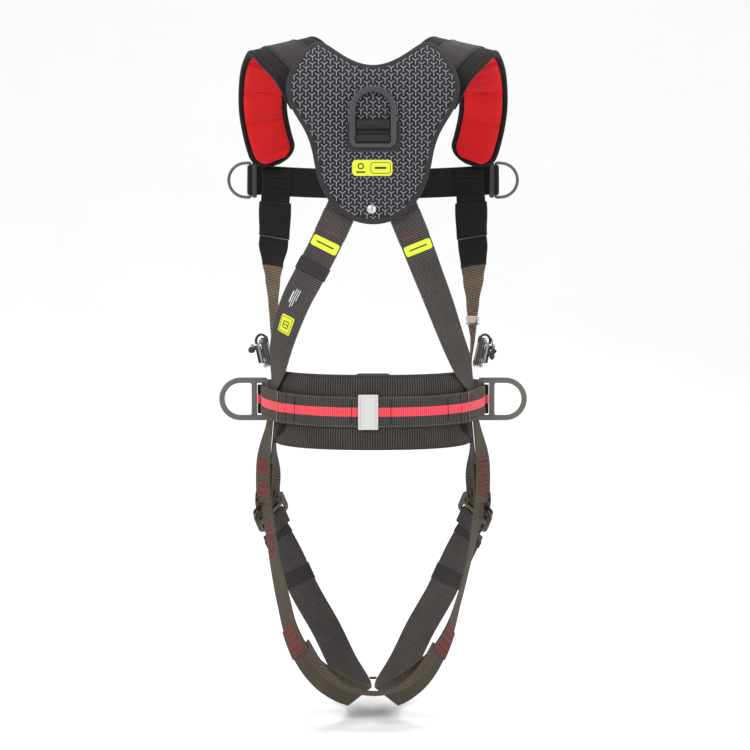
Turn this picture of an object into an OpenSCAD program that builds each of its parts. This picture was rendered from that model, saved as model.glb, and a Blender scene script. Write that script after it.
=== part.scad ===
// Full-body safety harness with a padded back panel, a waist belt and leg loops.
// Millimetres. +Z is up, the wearer faces +Y, and the origin is on the inner face
// of the back pad, level with the pivot area of the dorsal ring.

/* [Webbing] */
// Width of the load-bearing webbing
web_w = 45; // [42:1:47]
// Thickness of one layer of webbing
web_t = 2.4; // [2:0.1:2.6]

/* [Back pad] */
// Height of the neckline above the origin
neck_z = 102; // [95:1:106]
// Height of the two upper peaks above the origin
peak_z = 147; // [140:1:150]
// Depth of the lowest point below the origin
pad_foot = 123; // [118:1:126]
// Width of the sewn binding round the panel
bind_w = 7; // [5:0.5:9]

/* [Shoulder pads] */
// Width of a shoulder pad
shoulder_w = 69; // [62:1:72]

/* [Waist belt] */
// Height of the padded belt
belt_pad_h = 107; // [98:1:110]
// Depth of the padded belt's middle line below the origin
belt_drop = 394; // [392:1:396]

/* [Rings] */
// Outer width of the dorsal ring
dorsal_w = 68; // [66:1:70]
// Outer height of the dorsal ring
dorsal_h = 88; // [86:1:94]
// Width of the flat stock of the dorsal and side rings
ring_stock = 9; // [8:0.5:9.5]
// Outer height of a side ring
side_ring_h = 64; // [60:1:65]
// Reach of a side ring from its webbing slot to its tip
side_ring_reach = 63; // [58:1:66]
// Outer height of a chest ring
chest_ring_h = 57; // [52:1:60]

/* [Hidden] */

// Clearances: between neighbours, between stacked soft layers, and the radial fit of pins
gap = 0.3;
ply_gap = 0.9;
fit = 0.05;
eps = 0.01;
black = "#1d1c1f";
charcoal = "#35332f";
olive = "#4d463b";
red = "#c92a30";
steel = "#5b5850";
bronze = "#6d6455";
yellow = "#dfe04a";
silver = "#c9c9c6";

// ---------------------------------------------------------------- vectors and splines
function unit(v) = v / norm(v);
function place(p) = [p[0], p[1], p[2]];
function side(p) = [p[3], p[4], p[5]];
// A route may carry a seventh value, which widens the strap there
function spread(p) = len(p) > 6 ? p[6] : 1;
function unspread(r) = [for (p = r) [p[0], p[1], p[2], p[3], p[4], p[5]]];
// Catmull-Rom value at s, counted in control points
function spline(p, s) =
  let (n = len(p) - 1, i = min(floor(s), n - 1), t = s - i)
  let (a = p[max(i - 1, 0)], b = p[i], c = p[i + 1], d = p[min(i + 2, n)])
  0.5 * (2 * b + (c - a) * t + (2 * a - 5 * b + 4 * c - d) * t * t
    + (3 * b - a - 3 * c + d) * t * t * t);
// Place, width direction and face normal of a strap at s
function frame_at(r, s) =
  let (e = 0.02, n = len(r) - 1, q = spline(r, s))
  let (a = spline(r, max(s - e, 0)), b = spline(r, min(s + e, n)))
  let (t = unit(place(b) - place(a)), w = side(q))
  let (u = unit(w - (w * t) * t))
  [place(q), u, cross(t, u), spread(q)];
function corners(f, w, lo, hi) =
  let (e = f[1] * w * f[3] / 2)
  [f[0] + e + f[2] * hi, f[0] - e + f[2] * hi, f[0] - e + f[2] * lo, f[0] + e + f[2] * lo];
function quad(a, b, c, d) = [[a, b, c], [a, c, d]];
function flat(l) = [for (a = l) for (b = a) b];

// A strap along route r from s0 to s1, with its faces at lo and hi off the route
module strap(r, w, lo, hi, s0, s1, steps) {
  rings = [for (k = [0:steps]) frame_at(r, s0 + (s1 - s0) * k / steps)];
  points = flat([for (f = rings) corners(f, w, lo, hi)]);
  sides = flat([for (k = [0:steps - 1]) for (j = [0:3])
    let (a = 4 * k, m = (j + 1) % 4)
    j == 2 ? quad(a + j, a + 4 + j, a + 4 + m, a + m) : quad(a + m, a + j, a + 4 + j, a + 4 + m)]);
  last = 4 * steps;
  ends = concat(quad(0, 1, 2, 3), quad(last + 3, last + 2, last + 1, last));
  polyhedron(points, concat(sides, ends));
}

// A flat sleeve round a strap whose faces are at lo and hi
module sleeve(r, w, lo, hi, wall, s0, s1, steps) {
  rings = [for (k = [0:steps]) frame_at(r, s0 + (s1 - s0) * k / steps)];
  points = flat([for (f = rings) concat(
    corners(f, w + 2 * wall + 2 * ply_gap, lo - wall - ply_gap, hi + wall + ply_gap),
    corners(f, w + 2 * ply_gap, lo - ply_gap, hi + ply_gap))]);
  outer = flat([for (k = [0:steps - 1]) for (j = [0:3])
    let (a = 8 * k, m = (j + 1) % 4) quad(a + m, a + j, a + 8 + j, a + 8 + m)]);
  inner = flat([for (k = [0:steps - 1]) for (j = [0:3])
    let (a = 8 * k + 4, m = (j + 1) % 4)
    j == 2 ? quad(a + j, a + m, a + 8 + m, a + 8 + j) : quad(a + m, a + 8 + m, a + 8 + j, a + j)]);
  z = 8 * steps;
  ends = flat([for (j = [0:3]) let (m = (j + 1) % 4)
    concat(quad(j, m, m + 4, j + 4), quad(z + m, z + j, z + j + 4, z + m + 4))]);
  polyhedron(points, concat(outer, inner, ends));
}

// A closed solid between two grids of points, outer face first
module shell(a, b) {
  nr = len(a);
  nc = len(a[0]);
  o = nr * nc;
  front = flat([for (i = [0:nr - 2]) for (j = [0:nc - 2]) let (k = i * nc + j)
    concat(quad(k, k + nc, k + nc + 1, k + 1), quad(o + k, o + k + 1, o + k + nc + 1, o + k + nc))]);
  rows = flat([for (j = [0:nc - 2]) let (k = j, t = o - nc + j)
    concat(quad(k, k + 1, o + k + 1, o + k), quad(t + 1, t, o + t, o + t + 1))]);
  cols = flat([for (i = [0:nr - 2]) let (k = i * nc, t = i * nc + nc - 1)
    concat(quad(k + nc, k, o + k, o + k + nc), quad(t, t + nc, o + t + nc, o + t))]);
  polyhedron(concat(flat(a), flat(b)), concat(front, rows, cols));
}

// ---------------------------------------------------------------- back pad
// Half-width of the pad from its lower corner to its peak, in even steps
pad_half = [70, 82, 86, 97, 118, 127, 110, 86];
pad_corner = 84;
// Layers from the wearer outwards
lining_t = 1.5;
foam_t = 5;
cover_t = 2;
pad_t = lining_t + foam_t + cover_t + 2 * ply_gap;
pad_rows = 14;
pad_cols = 12;
// Depth of the wearer's back under the pad
bend_z = 50;
bend_run = 98;
bend_rise = 55;
wrap = 0.0006;
function rise(z) = z > bend_z ? (z - bend_z) / bend_run : 0;
function back_y(x, z) = bend_rise * pow(rise(z), 2) + wrap * x * x;
function back_n(x, z) = unit([2 * wrap * x, -1, 2 * bend_rise * rise(z) / bend_run]);
function pad_xz(u, v, inset) =
  let (low = -pad_foot + (pad_foot - pad_corner) * pow(abs(u), 2.4) + inset)
  let (high = neck_z + (peak_z - neck_z) * pow(abs(u), 1.8) - inset)
  [u * (spline(pad_half, 7 * v) - inset), low + (high - low) * v];
function pad_point(u, v, inset, off) =
  let (q = pad_xz(u, v, inset))
  [q[0], back_y(q[0], q[1]), q[1]] + off * back_n(q[0], q[1]);
module pad_layer(lo, hi) {
  rows = [for (i = [0:pad_rows]) i / pad_rows];
  cols = [for (j = [0:pad_cols]) 2 * j / pad_cols - 1];
  inset = bind_w + ply_gap;
  shell([for (v = rows) [for (u = cols) pad_point(u, v, inset, hi)]],
        [for (v = rows) [for (u = cols) pad_point(u, v, inset, lo)]]);
}
module back_pad_lining() { color(black) pad_layer(0, lining_t); }
module back_pad_foam() { color(charcoal) pad_layer(lining_t + ply_gap, lining_t + ply_gap + foam_t); }
module back_pad_cover() { color(black) pad_layer(pad_t - cover_t, pad_t); }
// Once round the pad's edge, from the lower left corner
edge_uv = concat(
  [for (j = [0:pad_cols - 1]) [2 * j / pad_cols - 1, 0]],
  [for (i = [0:pad_rows - 1]) [1, i / pad_rows]],
  [for (j = [0:pad_cols - 1]) [1 - 2 * j / pad_cols, 1]],
  [for (i = [0:pad_rows - 1]) [-1, 1 - i / pad_rows]]);
module back_pad_binding() {
  n = len(edge_uv);
  points = flat([for (e = edge_uv) [
    pad_point(e[0], e[1], bind_w, 0), pad_point(e[0], e[1], bind_w, pad_t),
    pad_point(e[0], e[1], 0, pad_t), pad_point(e[0], e[1], 0, 0)]]);
  faces = flat([for (k = [0:n - 1]) for (j = [0:3])
    let (a = 4 * k, b = 4 * ((k + 1) % n), m = (j + 1) % 4) quad(a + m, a + j, b + j, b + m)]);
  color(charcoal) polyhedron(points, faces);
}

// ---------------------------------------------------------------- dorsal ring
pad_face = -pad_t;
plate_t = 0.8;
ring_t = 6;
pivot_r = 3;
loop_wall = 1.2;
ring_foot_r = 12;
pivot_y = pad_face - plate_t - 3 * gap - pivot_r - fit - loop_wall;
pivot_z = -9;
dorsal_r = dorsal_w / 2;
loop_half = dorsal_r - ring_stock - 0.5;
// A rectangle with round corners, centred
module round_rect(w, h, r) {
  for (x = [-1, 1]) for (y = [-1, 1])
    translate([x * (w / 2 - r), y * (h / 2 - r)]) circle(r, $fn = 48);
  square([w, h - 2 * r], center = true);
  square([w - 2 * r, h], center = true);
}
// Stands a drawing in x and z up, with its thickness centred on y
module upright(y, t) {
  translate([0, y + t / 2, 0]) rotate([90, 0, 0]) linear_extrude(t) children();
}
module arch(r, foot, top) {
  translate([0, top - r]) circle(r, $fn = 96);
  translate([-r, foot]) square([2 * r, top - r - foot]);
}
module dorsal_backing_plate() {
  color(charcoal) upright(pad_face - gap - plate_t / 2, plate_t)
    translate([1, 5]) round_rect(73, 44, 10);
}
module dorsal_d_ring() {
  foot = pivot_z - pivot_r;
  top = foot + dorsal_h;
  bar = dorsal_w - 15;
  color(steel) union() {
    upright(pivot_y, ring_t) difference() {
      union() {
        arch(dorsal_r, foot + ring_foot_r, top);
        for (x = [-1, 1]) translate([x * (dorsal_r - ring_foot_r), foot + ring_foot_r])
          circle(ring_foot_r, $fn = 96);
      }
      translate([0, -eps]) arch(dorsal_r - ring_stock, foot, top - ring_stock);
    }
    translate([-bar / 2, pivot_y, pivot_z]) rotate([0, 90, 0])
      cylinder(h = bar, r = pivot_r, $fn = 48);
  }
}
// Two webbing bands inside the ring; the lower one wraps the pivot bar from behind
module dorsal_loops() {
  wrap_r = pivot_r + fit + loop_wall;
  color(black) union() {
    translate([-loop_half, 0, 0]) rotate([90, 0, 90]) linear_extrude(2 * loop_half) difference() {
      union() {
        translate([pivot_y, pivot_z]) circle(wrap_r, $fn = 48);
        translate([pivot_y - 2.2, pivot_z + 2]) square([4.4, 14.5]);
      }
      translate([pivot_y, pivot_z]) circle(pivot_r + fit, $fn = 48);
      translate([pivot_y - 9, pivot_z - 9]) square([9 - loop_wall, 11]);
    }
    upright(pad_face - plate_t - 2 * gap - 2.2, 4.4) translate([0, 19]) round_rect(2 * loop_half, 12, 2);
  }
}
module back_label() {
  color(yellow) upright(pad_face - gap - 0.5, 0.8) translate([-1, -41]) round_rect(58, 23, 6);
}
module pad_stud() {
  color(silver) translate([-2, pad_face - gap, -100]) rotate([90, 0, 0]) union() {
    cylinder(h = 1, r = 6, $fn = 64);
    translate([0, 0, 1]) cylinder(h = 1.2, r1 = 6, r2 = 4.4, $fn = 64);
  }
}

// ---------------------------------------------------------------- shoulders and front straps
// Routes hold place and width direction, for the side at +X
shoulder_route = [[80, 22, 68, .86, .08, -.5, 1.28], [100, 42, 106, .83, -.25, -.5, 1.33],
  [121, 70, 128, .84, -.3, -.42, 1.33], [137, 101, 137, .92, -.27, -.24, 1.28],
  [150, 130, 127, .97, -.2, -.12, 1.13], [163, 160, 97, 1, -.12, 0, 1.03],
  [167, 188, 52, .99, -.15, .05, 1], [160, 204, 8, .97, -.2, .1, 1], [148, 213, -30, .93, -.25, .2, 1]];
front_route = [[148, 221, -40, .95, -.28, .1], [148, 222, -62, .95, -.28, .05],
  [150, 220, -90, .95, -.28, 0], [151, 213, -135, .93, -.35, 0], [153, 200, -166, .85, -.5, .1],
  [152, 168, -205, .65, -.7, .3], [150, 138, -240, .45, -.85, .4], [149, 122, -268, .3, -.92, .25],
  [149, 114, -294, .1, -1, .15], [146, 112, -332, .05, -1, .05], [147, 112, -392, .05, -1, 0]];
front_end = len(front_route) - 1;
pad_out = -5;
pad_in = 3;
lining_in = 6.4;
web_gap = 1.6;
module shoulder_pad() { color(black) strap(shoulder_route, shoulder_w, pad_out, pad_in, 0, 8, 32); }
module shoulder_lining() {
  color(red) strap(shoulder_route, shoulder_w - 13, pad_in + ply_gap, lining_in, 0.25, 7.75, 30);
}
module shoulder_webbing() {
  color(charcoal)
    strap(unspread(shoulder_route), web_w, pad_out - web_gap - web_t, pad_out - web_gap, 0.5, 7.75, 29);
}
module front_strap() { color(charcoal) strap(front_route, web_w, -web_t / 2, web_t / 2, 0, front_end, 40); }
module front_sleeve() {
  color(black) sleeve(front_route, web_w, -web_t / 2, web_t / 2, 1.4, 2, 3.25, 5);
  color(black) sleeve(front_route, web_w, -web_t / 2, web_t / 2, 3, 3.5, 4, 2);
}
module strap_slider() {
  color(silver) sleeve(front_route, web_w, -web_t / 2 - 0.6, web_t / 2 + 0.6, 1.6, 6.75, 7.15, 2);
}

// ---------------------------------------------------------------- chest strap
chest_z = -62;
chest_out = 172;
chest_y = 222;
chest_bow = 22;
chest_lift = 6;
function chest_depth(x) = chest_y + chest_bow * (1 - pow(x / chest_out, 2));
function chest_height(x) = chest_z + chest_lift * pow(x / chest_out, 2);
function chest_route(x0, x1) = [for (k = [0:8]) let (x = x0 + (x1 - x0) * k / 8)
  [x, chest_depth(x), chest_height(x), 0, 0, 1]];
buckle_y = chest_y + chest_bow;
module chest_strap(x0, x1) {
  color(black) strap(chest_route(x0, x1), web_w, -web_t / 2, web_t / 2, 0, 8, 16);
}
// Housing, tongue and two squeeze buttons of the chest buckle
housing_l = 42;
housing_h = 40;
housing_d = 14;
cavity_h = 24;
cavity_d = 7;
button_l = 12;
button_d = 5;
button_h = 9;
module chest_buckle_housing() {
  color(charcoal) translate([0, buckle_y, chest_z]) difference() {
    translate([0, -housing_d / 2, -housing_h / 2]) cube([housing_l, housing_d, housing_h]);
    translate([-eps, -cavity_d / 2, -cavity_h / 2]) cube([34, cavity_d, cavity_h]);
    translate([14 - gap, -button_d / 2 - gap, -housing_h])
      cube([button_l + 2 * gap, button_d + 2 * gap, 2 * housing_h]);
  }
}
module chest_buckle_tongue() {
  color(steel) translate([0, buckle_y, chest_z]) upright(0, 4) difference() {
    union() {
      translate([-12, 0]) round_rect(20, 50, 4);
      translate([-6, -6]) square([38, 12]);
      translate([-6, -9]) square([10, 18]);
    }
    translate([-14, 0]) square([6, 40], center = true);
  }
}
module chest_button(way) {
  color(red) translate([14, buckle_y, chest_z]) mirror([0, 0, way < 0 ? 1 : 0])
    translate([0, -button_d / 2, cavity_h / 2 + 0.6]) cube([button_l, button_d, button_h]);
}

// ---------------------------------------------------------------- chest rings
chest_bar_x = 188;
chest_bar_y = 221;
chest_wire = 2.4;
// A round-wire D with its straight bar on the z axis, opening towards +X
module wire_d(h, reach, r) {
  bend = h / 2 - r;
  run = reach - bend - 2 * r;
  cylinder(h = h - 2 * r, r = r, center = true, $fn = 32);
  for (z = [-1, 1]) translate([0, 0, z * bend]) {
    sphere(r, $fn = 32);
    rotate([0, 90, 0]) cylinder(h = max(run, eps), r = r, $fn = 32);
  }
  translate([max(run, eps), 0, 0]) rotate([90, 0, 0]) rotate([0, 0, -90])
    rotate_extrude(angle = 180, $fn = 64) translate([bend, 0]) circle(r, $fn = 24);
}
module chest_ring() {
  color(bronze) translate([chest_bar_x, chest_bar_y, chest_z + chest_lift]) wire_d(chest_ring_h, 38, chest_wire);
}

// ---------------------------------------------------------------- torso adjusters
adj_pos = [154, 104, -311];
adj_lean = 12;
adj_w = 52;
adj_h = 44;
cheek_d = 15;
pin_r = 2;
spool_r = 5;
flange_r = 6.5;
spool_x = 9.5;
spool_z = 10;
lever_x = 9;
lever_z = -11;
plate_x = 17;
knob_z = 9;
// Puts a drawing made with +X outwards into place on the +X side
module adjuster_place() { translate(adj_pos) rotate([0, adj_lean, 0]) children(); }
module along_y(x, z, r, l) {
  translate([x, l / 2, z]) rotate([90, 0, 0]) cylinder(h = l, r = r, $fn = 48);
}
module adjuster_frame() {
  color(black) adjuster_place() union() {
    difference() {
      translate([0, -adj_w / 2, -adj_h / 2]) cube([2, adj_w, adj_h]);
      for (z = [-1, 1]) translate([-1, -23.5, z * 17 - 2.5]) cube([4, 47, 5]);
    }
    for (y = [-1, 1]) translate([0, y * (adj_w / 2 - 1) - 1, 0]) difference() {
      translate([0, 0, -adj_h / 2 + 2]) cube([cheek_d, 2, adj_h - 4]);
      translate([11, -1, -adj_h / 2 + 1]) cube([6, 4, 6]);
      translate([11, -1, adj_h / 2 - 7]) cube([6, 4, 6]);
    }
    along_y(spool_x, spool_z, pin_r, adj_w - 2);
    along_y(lever_x, lever_z, pin_r, adj_w - 2);
  }
}
module adjuster_spool() {
  color(steel) adjuster_place() difference() {
    union() {
      along_y(spool_x, spool_z, spool_r, adj_w - 5);
      for (y = [-1, 1]) translate([0, y * 21, 0]) along_y(spool_x, spool_z, flange_r, 4);
    }
    along_y(spool_x, spool_z, pin_r + fit, adj_w);
  }
}
module adjuster_lever() {
  color(charcoal) adjuster_place() difference() {
    union() {
      along_y(lever_x, lever_z, 4, adj_w - 6);
      translate([lever_x, -19, lever_z - 3]) cube([plate_x + 2 - lever_x, 38, 3]);
      translate([plate_x, -19, lever_z - 3]) cube([2, 38, 26]);
      translate([plate_x + 1, 0, knob_z]) rotate([0, 90, 0]) cylinder(h = 5, r = 3, $fn = 32);
      translate([plate_x + 5, 0, knob_z]) rotate([0, 90, 0]) cylinder(h = 4, r = 6, $fn = 32);
    }
    along_y(lever_x, lever_z, pin_r + fit, adj_w);
  }
}

// ---------------------------------------------------------------- dorsal straps and labels
dorsal_right = [[24, 5, -50, .92, 0, .39], [46, 5, -108, .92, 0, .39], [64, 5, -153, .9, .1, .39],
  [81, 8, -197, .86, .3, .4], [97, 13, -238, .8, .42, .42], [116, 24, -290, .68, .58, .42],
  [134, 38, -335, .45, .63, .64], [146, 61, -366, .25, .66, .71], [153, 92, -391, .06, .62, .78]];
dorsal_left = [[24, 5, -50, .92, 0, .39], [49, 5, -108, .92, 0, .39], [70, 5, -153, .92, 0, .39],
  [93, 8, -197, .9, .1, .4], [114, 14, -238, .85, .3, .42], [132, 28, -290, .7, .55, .44],
  [141, 44, -335, .45, .65, .62], [147, 64, -366, .25, .66, .71], [153, 92, -391, .06, .62, .78]];
label_t = 0.8;
module dorsal_strap(r) { color(charcoal) strap(r, web_w, -web_t / 2, web_t / 2, 0, 8, 32); }
module strap_label(r, w, s0, s1) {
  strap(r, w, web_t / 2 + ply_gap, web_t / 2 + ply_gap + label_t, s0, s1, round(4 * (s1 - s0)));
}
module load_indicators() {
  color(yellow) strap_label(dorsal_right, 42, 1.75, 2.25);
  color(yellow) left() strap_label(dorsal_left, 42, 1.75, 2.25);
}
module id_label() { color(black) left() strap_label(dorsal_left, 38, 3.25, 4); }
module pictogram_label() { color(yellow) left() strap_label(dorsal_left, 26, 4.25, 4.75); }

// ---------------------------------------------------------------- waist belt
waist_a = 140;
waist_b = 112;
waist_n = 0.83;
belt_pad_t = 10;
pad_turn = 73;
pad_lift = 0.03;
web_lift = 0.085;
// The webbing dips again past the wearer's sides
dip_y = 120;
dip = 0.0009;
// How far the belt's webbing stands off the waist, every 30 degrees from the back
web_off = [11.8, 14, 18.5, 25.5, 16, 7, 5];
stripe_h = 13;
// Waist outline at an angle from the middle of the back
function waist(a, off) =
  [(waist_a + off) * sign(sin(a)) * pow(abs(sin(a)), waist_n),
   waist_b - (waist_b + off) * sign(cos(a)) * pow(abs(cos(a)), waist_n)];
web_drop = belt_drop - 2;
function pad_z(y) = -belt_drop + pad_lift * y;
function belt_z(y) = -web_drop + web_lift * y - dip * pow(max(0, y - dip_y), 2);
function belt_station(a) = let (q = waist(a, spline(web_off, abs(a) / 30)))
  [q[0], q[1], belt_z(q[1]), 0, 0, 1];
belt_turn = 174;
belt_steps = 40;
belt_route = [for (k = [0:belt_steps]) belt_station(belt_turn * (2 * k / belt_steps - 1))];
module belt_pad() {
  angles = [for (k = [0:20]) pad_turn * (k / 10 - 1)];
  function face(off) = [for (v = [-1, 1]) [for (a = angles) let (q = waist(a, off))
    [q[0], q[1], pad_z(q[1]) + v * belt_pad_h / 2]]];
  color(charcoal) shell(face(belt_pad_t), face(0));
}
module belt_webbing() {
  color(charcoal) strap(belt_route, web_w, -web_t / 2, web_t / 2, 0, belt_steps, belt_steps * 2);
}
module belt_stripe() {
  color(red) strap(belt_route, stripe_h, web_t / 2 + gap, web_t / 2 + gap + 0.5, 9, 31, 44);
}
module belt_label_loop() {
  x = -7;
  y = -web_off[0];
  inner = web_w + 1.6;
  color(silver) translate([x, y, belt_z(y)]) difference() {
    translate([-14.5, -4, -25.5]) cube([29, 5.5, 51]);
    translate([-15.5, -2.8, -inner / 2]) cube([31, 5, inner]);
  }
}
// Front buckle: a frame round the belt's ends, and a prong hinged on its upright
front_y = waist_b * 2 + web_off[6] + 6;
front_z = belt_z(front_y);
frame_w = 58;
frame_h = 60;
bar_x = -12;
module belt_buckle_frame() {
  color(steel) translate([0, front_y, front_z]) union() {
    upright(0, 5) difference() {
      round_rect(frame_w, frame_h, 8);
      round_rect(frame_w - 14, frame_h - 12, 4);
    }
    translate([bar_x, 0, 0]) cylinder(h = frame_h - 10, r = 2.2, center = true, $fn = 32);
  }
}
module belt_buckle_prong() {
  reach = 42;
  color(silver) translate([bar_x, front_y, front_z]) difference() {
    union() {
      cylinder(h = 8, r = 4.2, center = true, $fn = 48);
      translate([3, 3.2, -2.5]) cube([reach - 3, 2, 5]);
      translate([2, 0, -2.5]) cube([3, 5.2, 5]);
    }
    cylinder(h = 10, r = 2.2 + fit, center = true, $fn = 48);
  }
}

// ---------------------------------------------------------------- side rings
side_y = 105;
side_x = 166.7;
side_z = belt_z(side_y);
slot_w = 11.5;
inner_bar = 5.5;
side_t = 5;
module side_ring() {
  r = side_ring_h / 2;
  x0 = -slot_w / 2 + 1 - inner_bar;
  bar = slot_w / 2 + 1;
  color(steel) translate([side_x, 0, side_z]) upright(side_y, side_t) difference() {
    union() {
      translate([side_ring_reach - r, 0]) circle(r, $fn = 96);
      translate([x0 + 5, -r]) square([side_ring_reach - r - x0 - 5, 2 * r]);
      translate([x0, -r + 5]) square([10, 2 * r - 10]);
      for (z = [-1, 1]) translate([x0 + 5, z * (r - 5)]) circle(5, $fn = 48);
    }
    translate([side_ring_reach - r, 0]) circle(r - ring_stock + 1, $fn = 96);
    translate([bar + ring_stock - 1, -r + ring_stock - 1])
      square([side_ring_reach - r - bar - ring_stock + 1, 2 * (r - ring_stock + 1)]);
    translate([-slot_w / 2 + 1, -web_w / 2 - 1.5]) square([slot_w, web_w + 3]);
  }
}

// ---------------------------------------------------------------- hip straps and leg loops
hip_route = [[145, 97, -393, .12, .99, 0], [147, 97, -425, .2, .97, 0],
  [157, 97, -475, .4, .9, 0], [160, 95, -538, .42, .9, 0]];
branch_route = [[145, 112, -394, .05, 1, 0], [144, 116, -430, .05, 1, 0],
  [146, 126, -470, .05, .98, .05], [149, 133, -505, -.15, .95, .2], [153, 132, -536, -.4, .8, .45]];
// Down the front of the thigh, through the crotch and up behind to the hip
thigh_route = [[151, 135, -581, -.63, .5, .54], [141, 143, -600, -.75, .3, .55],
  [126, 158, -633, -.84, .1, .52], [103, 168, -685, -.86, 0, .51], [72, 168, -740, -.86, 0, .51],
  [46, 150, -790, -.83, .05, .55], [24, 115, -820, -.79, .05, .61], [20, 70, -824, -.78, 0, .62],
  [22, 28, -816, -.78, 0, .62]];
seat_right = [[22, 28, -816, -.78, 0, .62], [38, -1, -802, -.77, -.12, .63],
  [64, -13, -781, -.65, -.4, .6], [90, -12, -752, -.45, -.7, .5], [111, 1, -716, -.28, -.88, .38],
  [127, 28, -672, -.15, -.95, .3], [143, 70, -618, -.15, -.95, .25],
  [153, 88, -572, -.3, -.93, .1], [160, 95, -534, -.42, -.9, 0], [157, 97, -478, -.4, -.9, 0]];
seat_left = [[22, 28, -816, -.78, 0, .62], [40, -2, -803, -.77, -.12, .63],
  [70, -14, -783, -.66, -.38, .6], [100, -12, -752, -.5, -.62, .5], [122, 2, -714, -.42, -.76, .4],
  [137, 30, -670, -.36, -.86, .32], [149, 68, -622, -.33, -.9, .25],
  [154, 87, -572, -.35, -.92, .12], [160, 95, -534, -.42, -.9, 0], [157, 97, -478, -.4, -.9, 0]];
link_route = [[-95, -38, -734, .5, -.6, .5], [-73, -42, -763, .3, -.7, .5],
  [-46, -42, -786, .2, -.8, .4], [-16, -40, -797, .1, -.85, .4], [14, -40, -798, 0, -.85, .4],
  [44, -42, -787, -.2, -.8, .4], [69, -42, -765, -.3, -.7, .5], [88, -38, -738, -.5, -.6, .5]];
link_w = 25;
tie_l = 10;
module hip_strap() {
  color(olive) strap(hip_route, web_w, 2.8, 2.8 + web_t, 0.05, 3, 20);
  color(olive) strap(branch_route, web_w, -web_t / 2, web_t / 2, 0.1, 3.4, 18);
}
module thigh_strap() { color(charcoal) strap(thigh_route, web_w, -web_t / 2, web_t / 2, 0, 7.75, 31); }
module seat_strap(r) { color(olive) strap(r, web_w, -web_t / 2, web_t / 2, 0, 9, 45); }
module link_strap() { color(olive) strap(link_route, link_w, -web_t / 2, web_t / 2, 0, 7, 28); }
module leg_keepers() {
  for (way = [0, 1]) color(black) mirror([way, 0, 0]) {
    sleeve(thigh_route, web_w, -web_t / 2, web_t / 2, 1.2, 0.5, 1, 2);
    sleeve(thigh_route, web_w, -web_t / 2, web_t / 2, 1.2, 2, 2.5, 2);
  }
}
module leg_tie() {
  color(olive) translate([0, 114, -806]) rotate([0, 90, 0]) cylinder(h = tie_l, r = 2, center = true, $fn = 24);
}

// Leg buckles: local x runs across the strap, y off its face, z up along it
leg_place = [154, 132, -556];
leg_across = unit([-.63, .56, .54]);
leg_down = unit(cross(cross(leg_across, [-.22, .38, -.9]), leg_across));
leg_off = cross(leg_down, leg_across);
module leg_buckle_place() {
  multmatrix([for (i = [0:2]) [-leg_across[i], leg_off[i], -leg_down[i], leg_place[i]]]) children();
}
module leg_buckle_frame() {
  color(bronze) leg_buckle_place() upright(0, 3.5) difference() {
    round_rect(66, 36, 8);
    translate([0, 7]) square([50, 9], center = true);
    translate([0, -8]) square([50, 9], center = true);
  }
}
module leg_buckle_tongue() {
  color(bronze) leg_buckle_place() upright(4.6, 3) difference() {
    translate([0, 8]) round_rect(56, 26, 6);
    translate([0, 12]) square([47, 8], center = true);
  }
}

module left() { mirror([1, 0, 0]) children(); }

back_pad_cover();
back_pad_foam();
back_pad_lining();
back_pad_binding();
dorsal_backing_plate();
dorsal_d_ring();
dorsal_loops();
back_label();
pad_stud();
left() shoulder_pad();  // shoulder_pad_left
shoulder_pad();  // shoulder_pad_right
left() shoulder_lining();  // shoulder_lining_left
shoulder_lining();  // shoulder_lining_right
left() shoulder_webbing();  // shoulder_webbing_left
shoulder_webbing();  // shoulder_webbing_right
left() front_strap();  // front_strap_left
front_strap();  // front_strap_right
left() front_sleeve();  // front_sleeve_left
front_sleeve();  // front_sleeve_right
chest_strap(-chest_out - 6, -24);  // chest_strap_left
chest_strap(44, chest_out + 6);  // chest_strap_right
chest_buckle_housing();
chest_buckle_tongue();
chest_button(1);  // chest_button_top
chest_button(-1);  // chest_button_bottom
left() chest_ring();  // chest_d_ring_left
chest_ring();  // chest_d_ring_right
left() adjuster_frame();  // adjuster_frame_left
adjuster_frame();  // adjuster_frame_right
left() adjuster_spool();  // adjuster_spool_left
adjuster_spool();  // adjuster_spool_right
left() adjuster_lever();  // adjuster_lever_left
adjuster_lever();  // adjuster_lever_right
strap_slider();
left() dorsal_strap(dorsal_left);  // dorsal_strap_left
dorsal_strap(dorsal_right);  // dorsal_strap_right
load_indicators();
id_label();
pictogram_label();
belt_pad();
belt_webbing();
belt_stripe();
belt_label_loop();
belt_buckle_frame();
belt_buckle_prong();
left() side_ring();  // side_d_ring_left
side_ring();  // side_d_ring_right
left() hip_strap();  // hip_strap_left
hip_strap();  // hip_strap_right
left() leg_buckle_frame();  // leg_buckle_frame_left
leg_buckle_frame();  // leg_buckle_frame_right
left() leg_buckle_tongue();  // leg_buckle_tongue_left
leg_buckle_tongue();  // leg_buckle_tongue_right
left() thigh_strap();  // thigh_strap_left
thigh_strap();  // thigh_strap_right
left() seat_strap(seat_left);  // seat_strap_left
seat_strap(seat_right);  // seat_strap_right
link_strap();
leg_keepers();
leg_tie();
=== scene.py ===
import bpy
from math import atan2, copysign, cos, exp, hypot, pi, radians, sin, sqrt
from bisect import bisect_right
from mathutils import Matrix, Vector, noise


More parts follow.
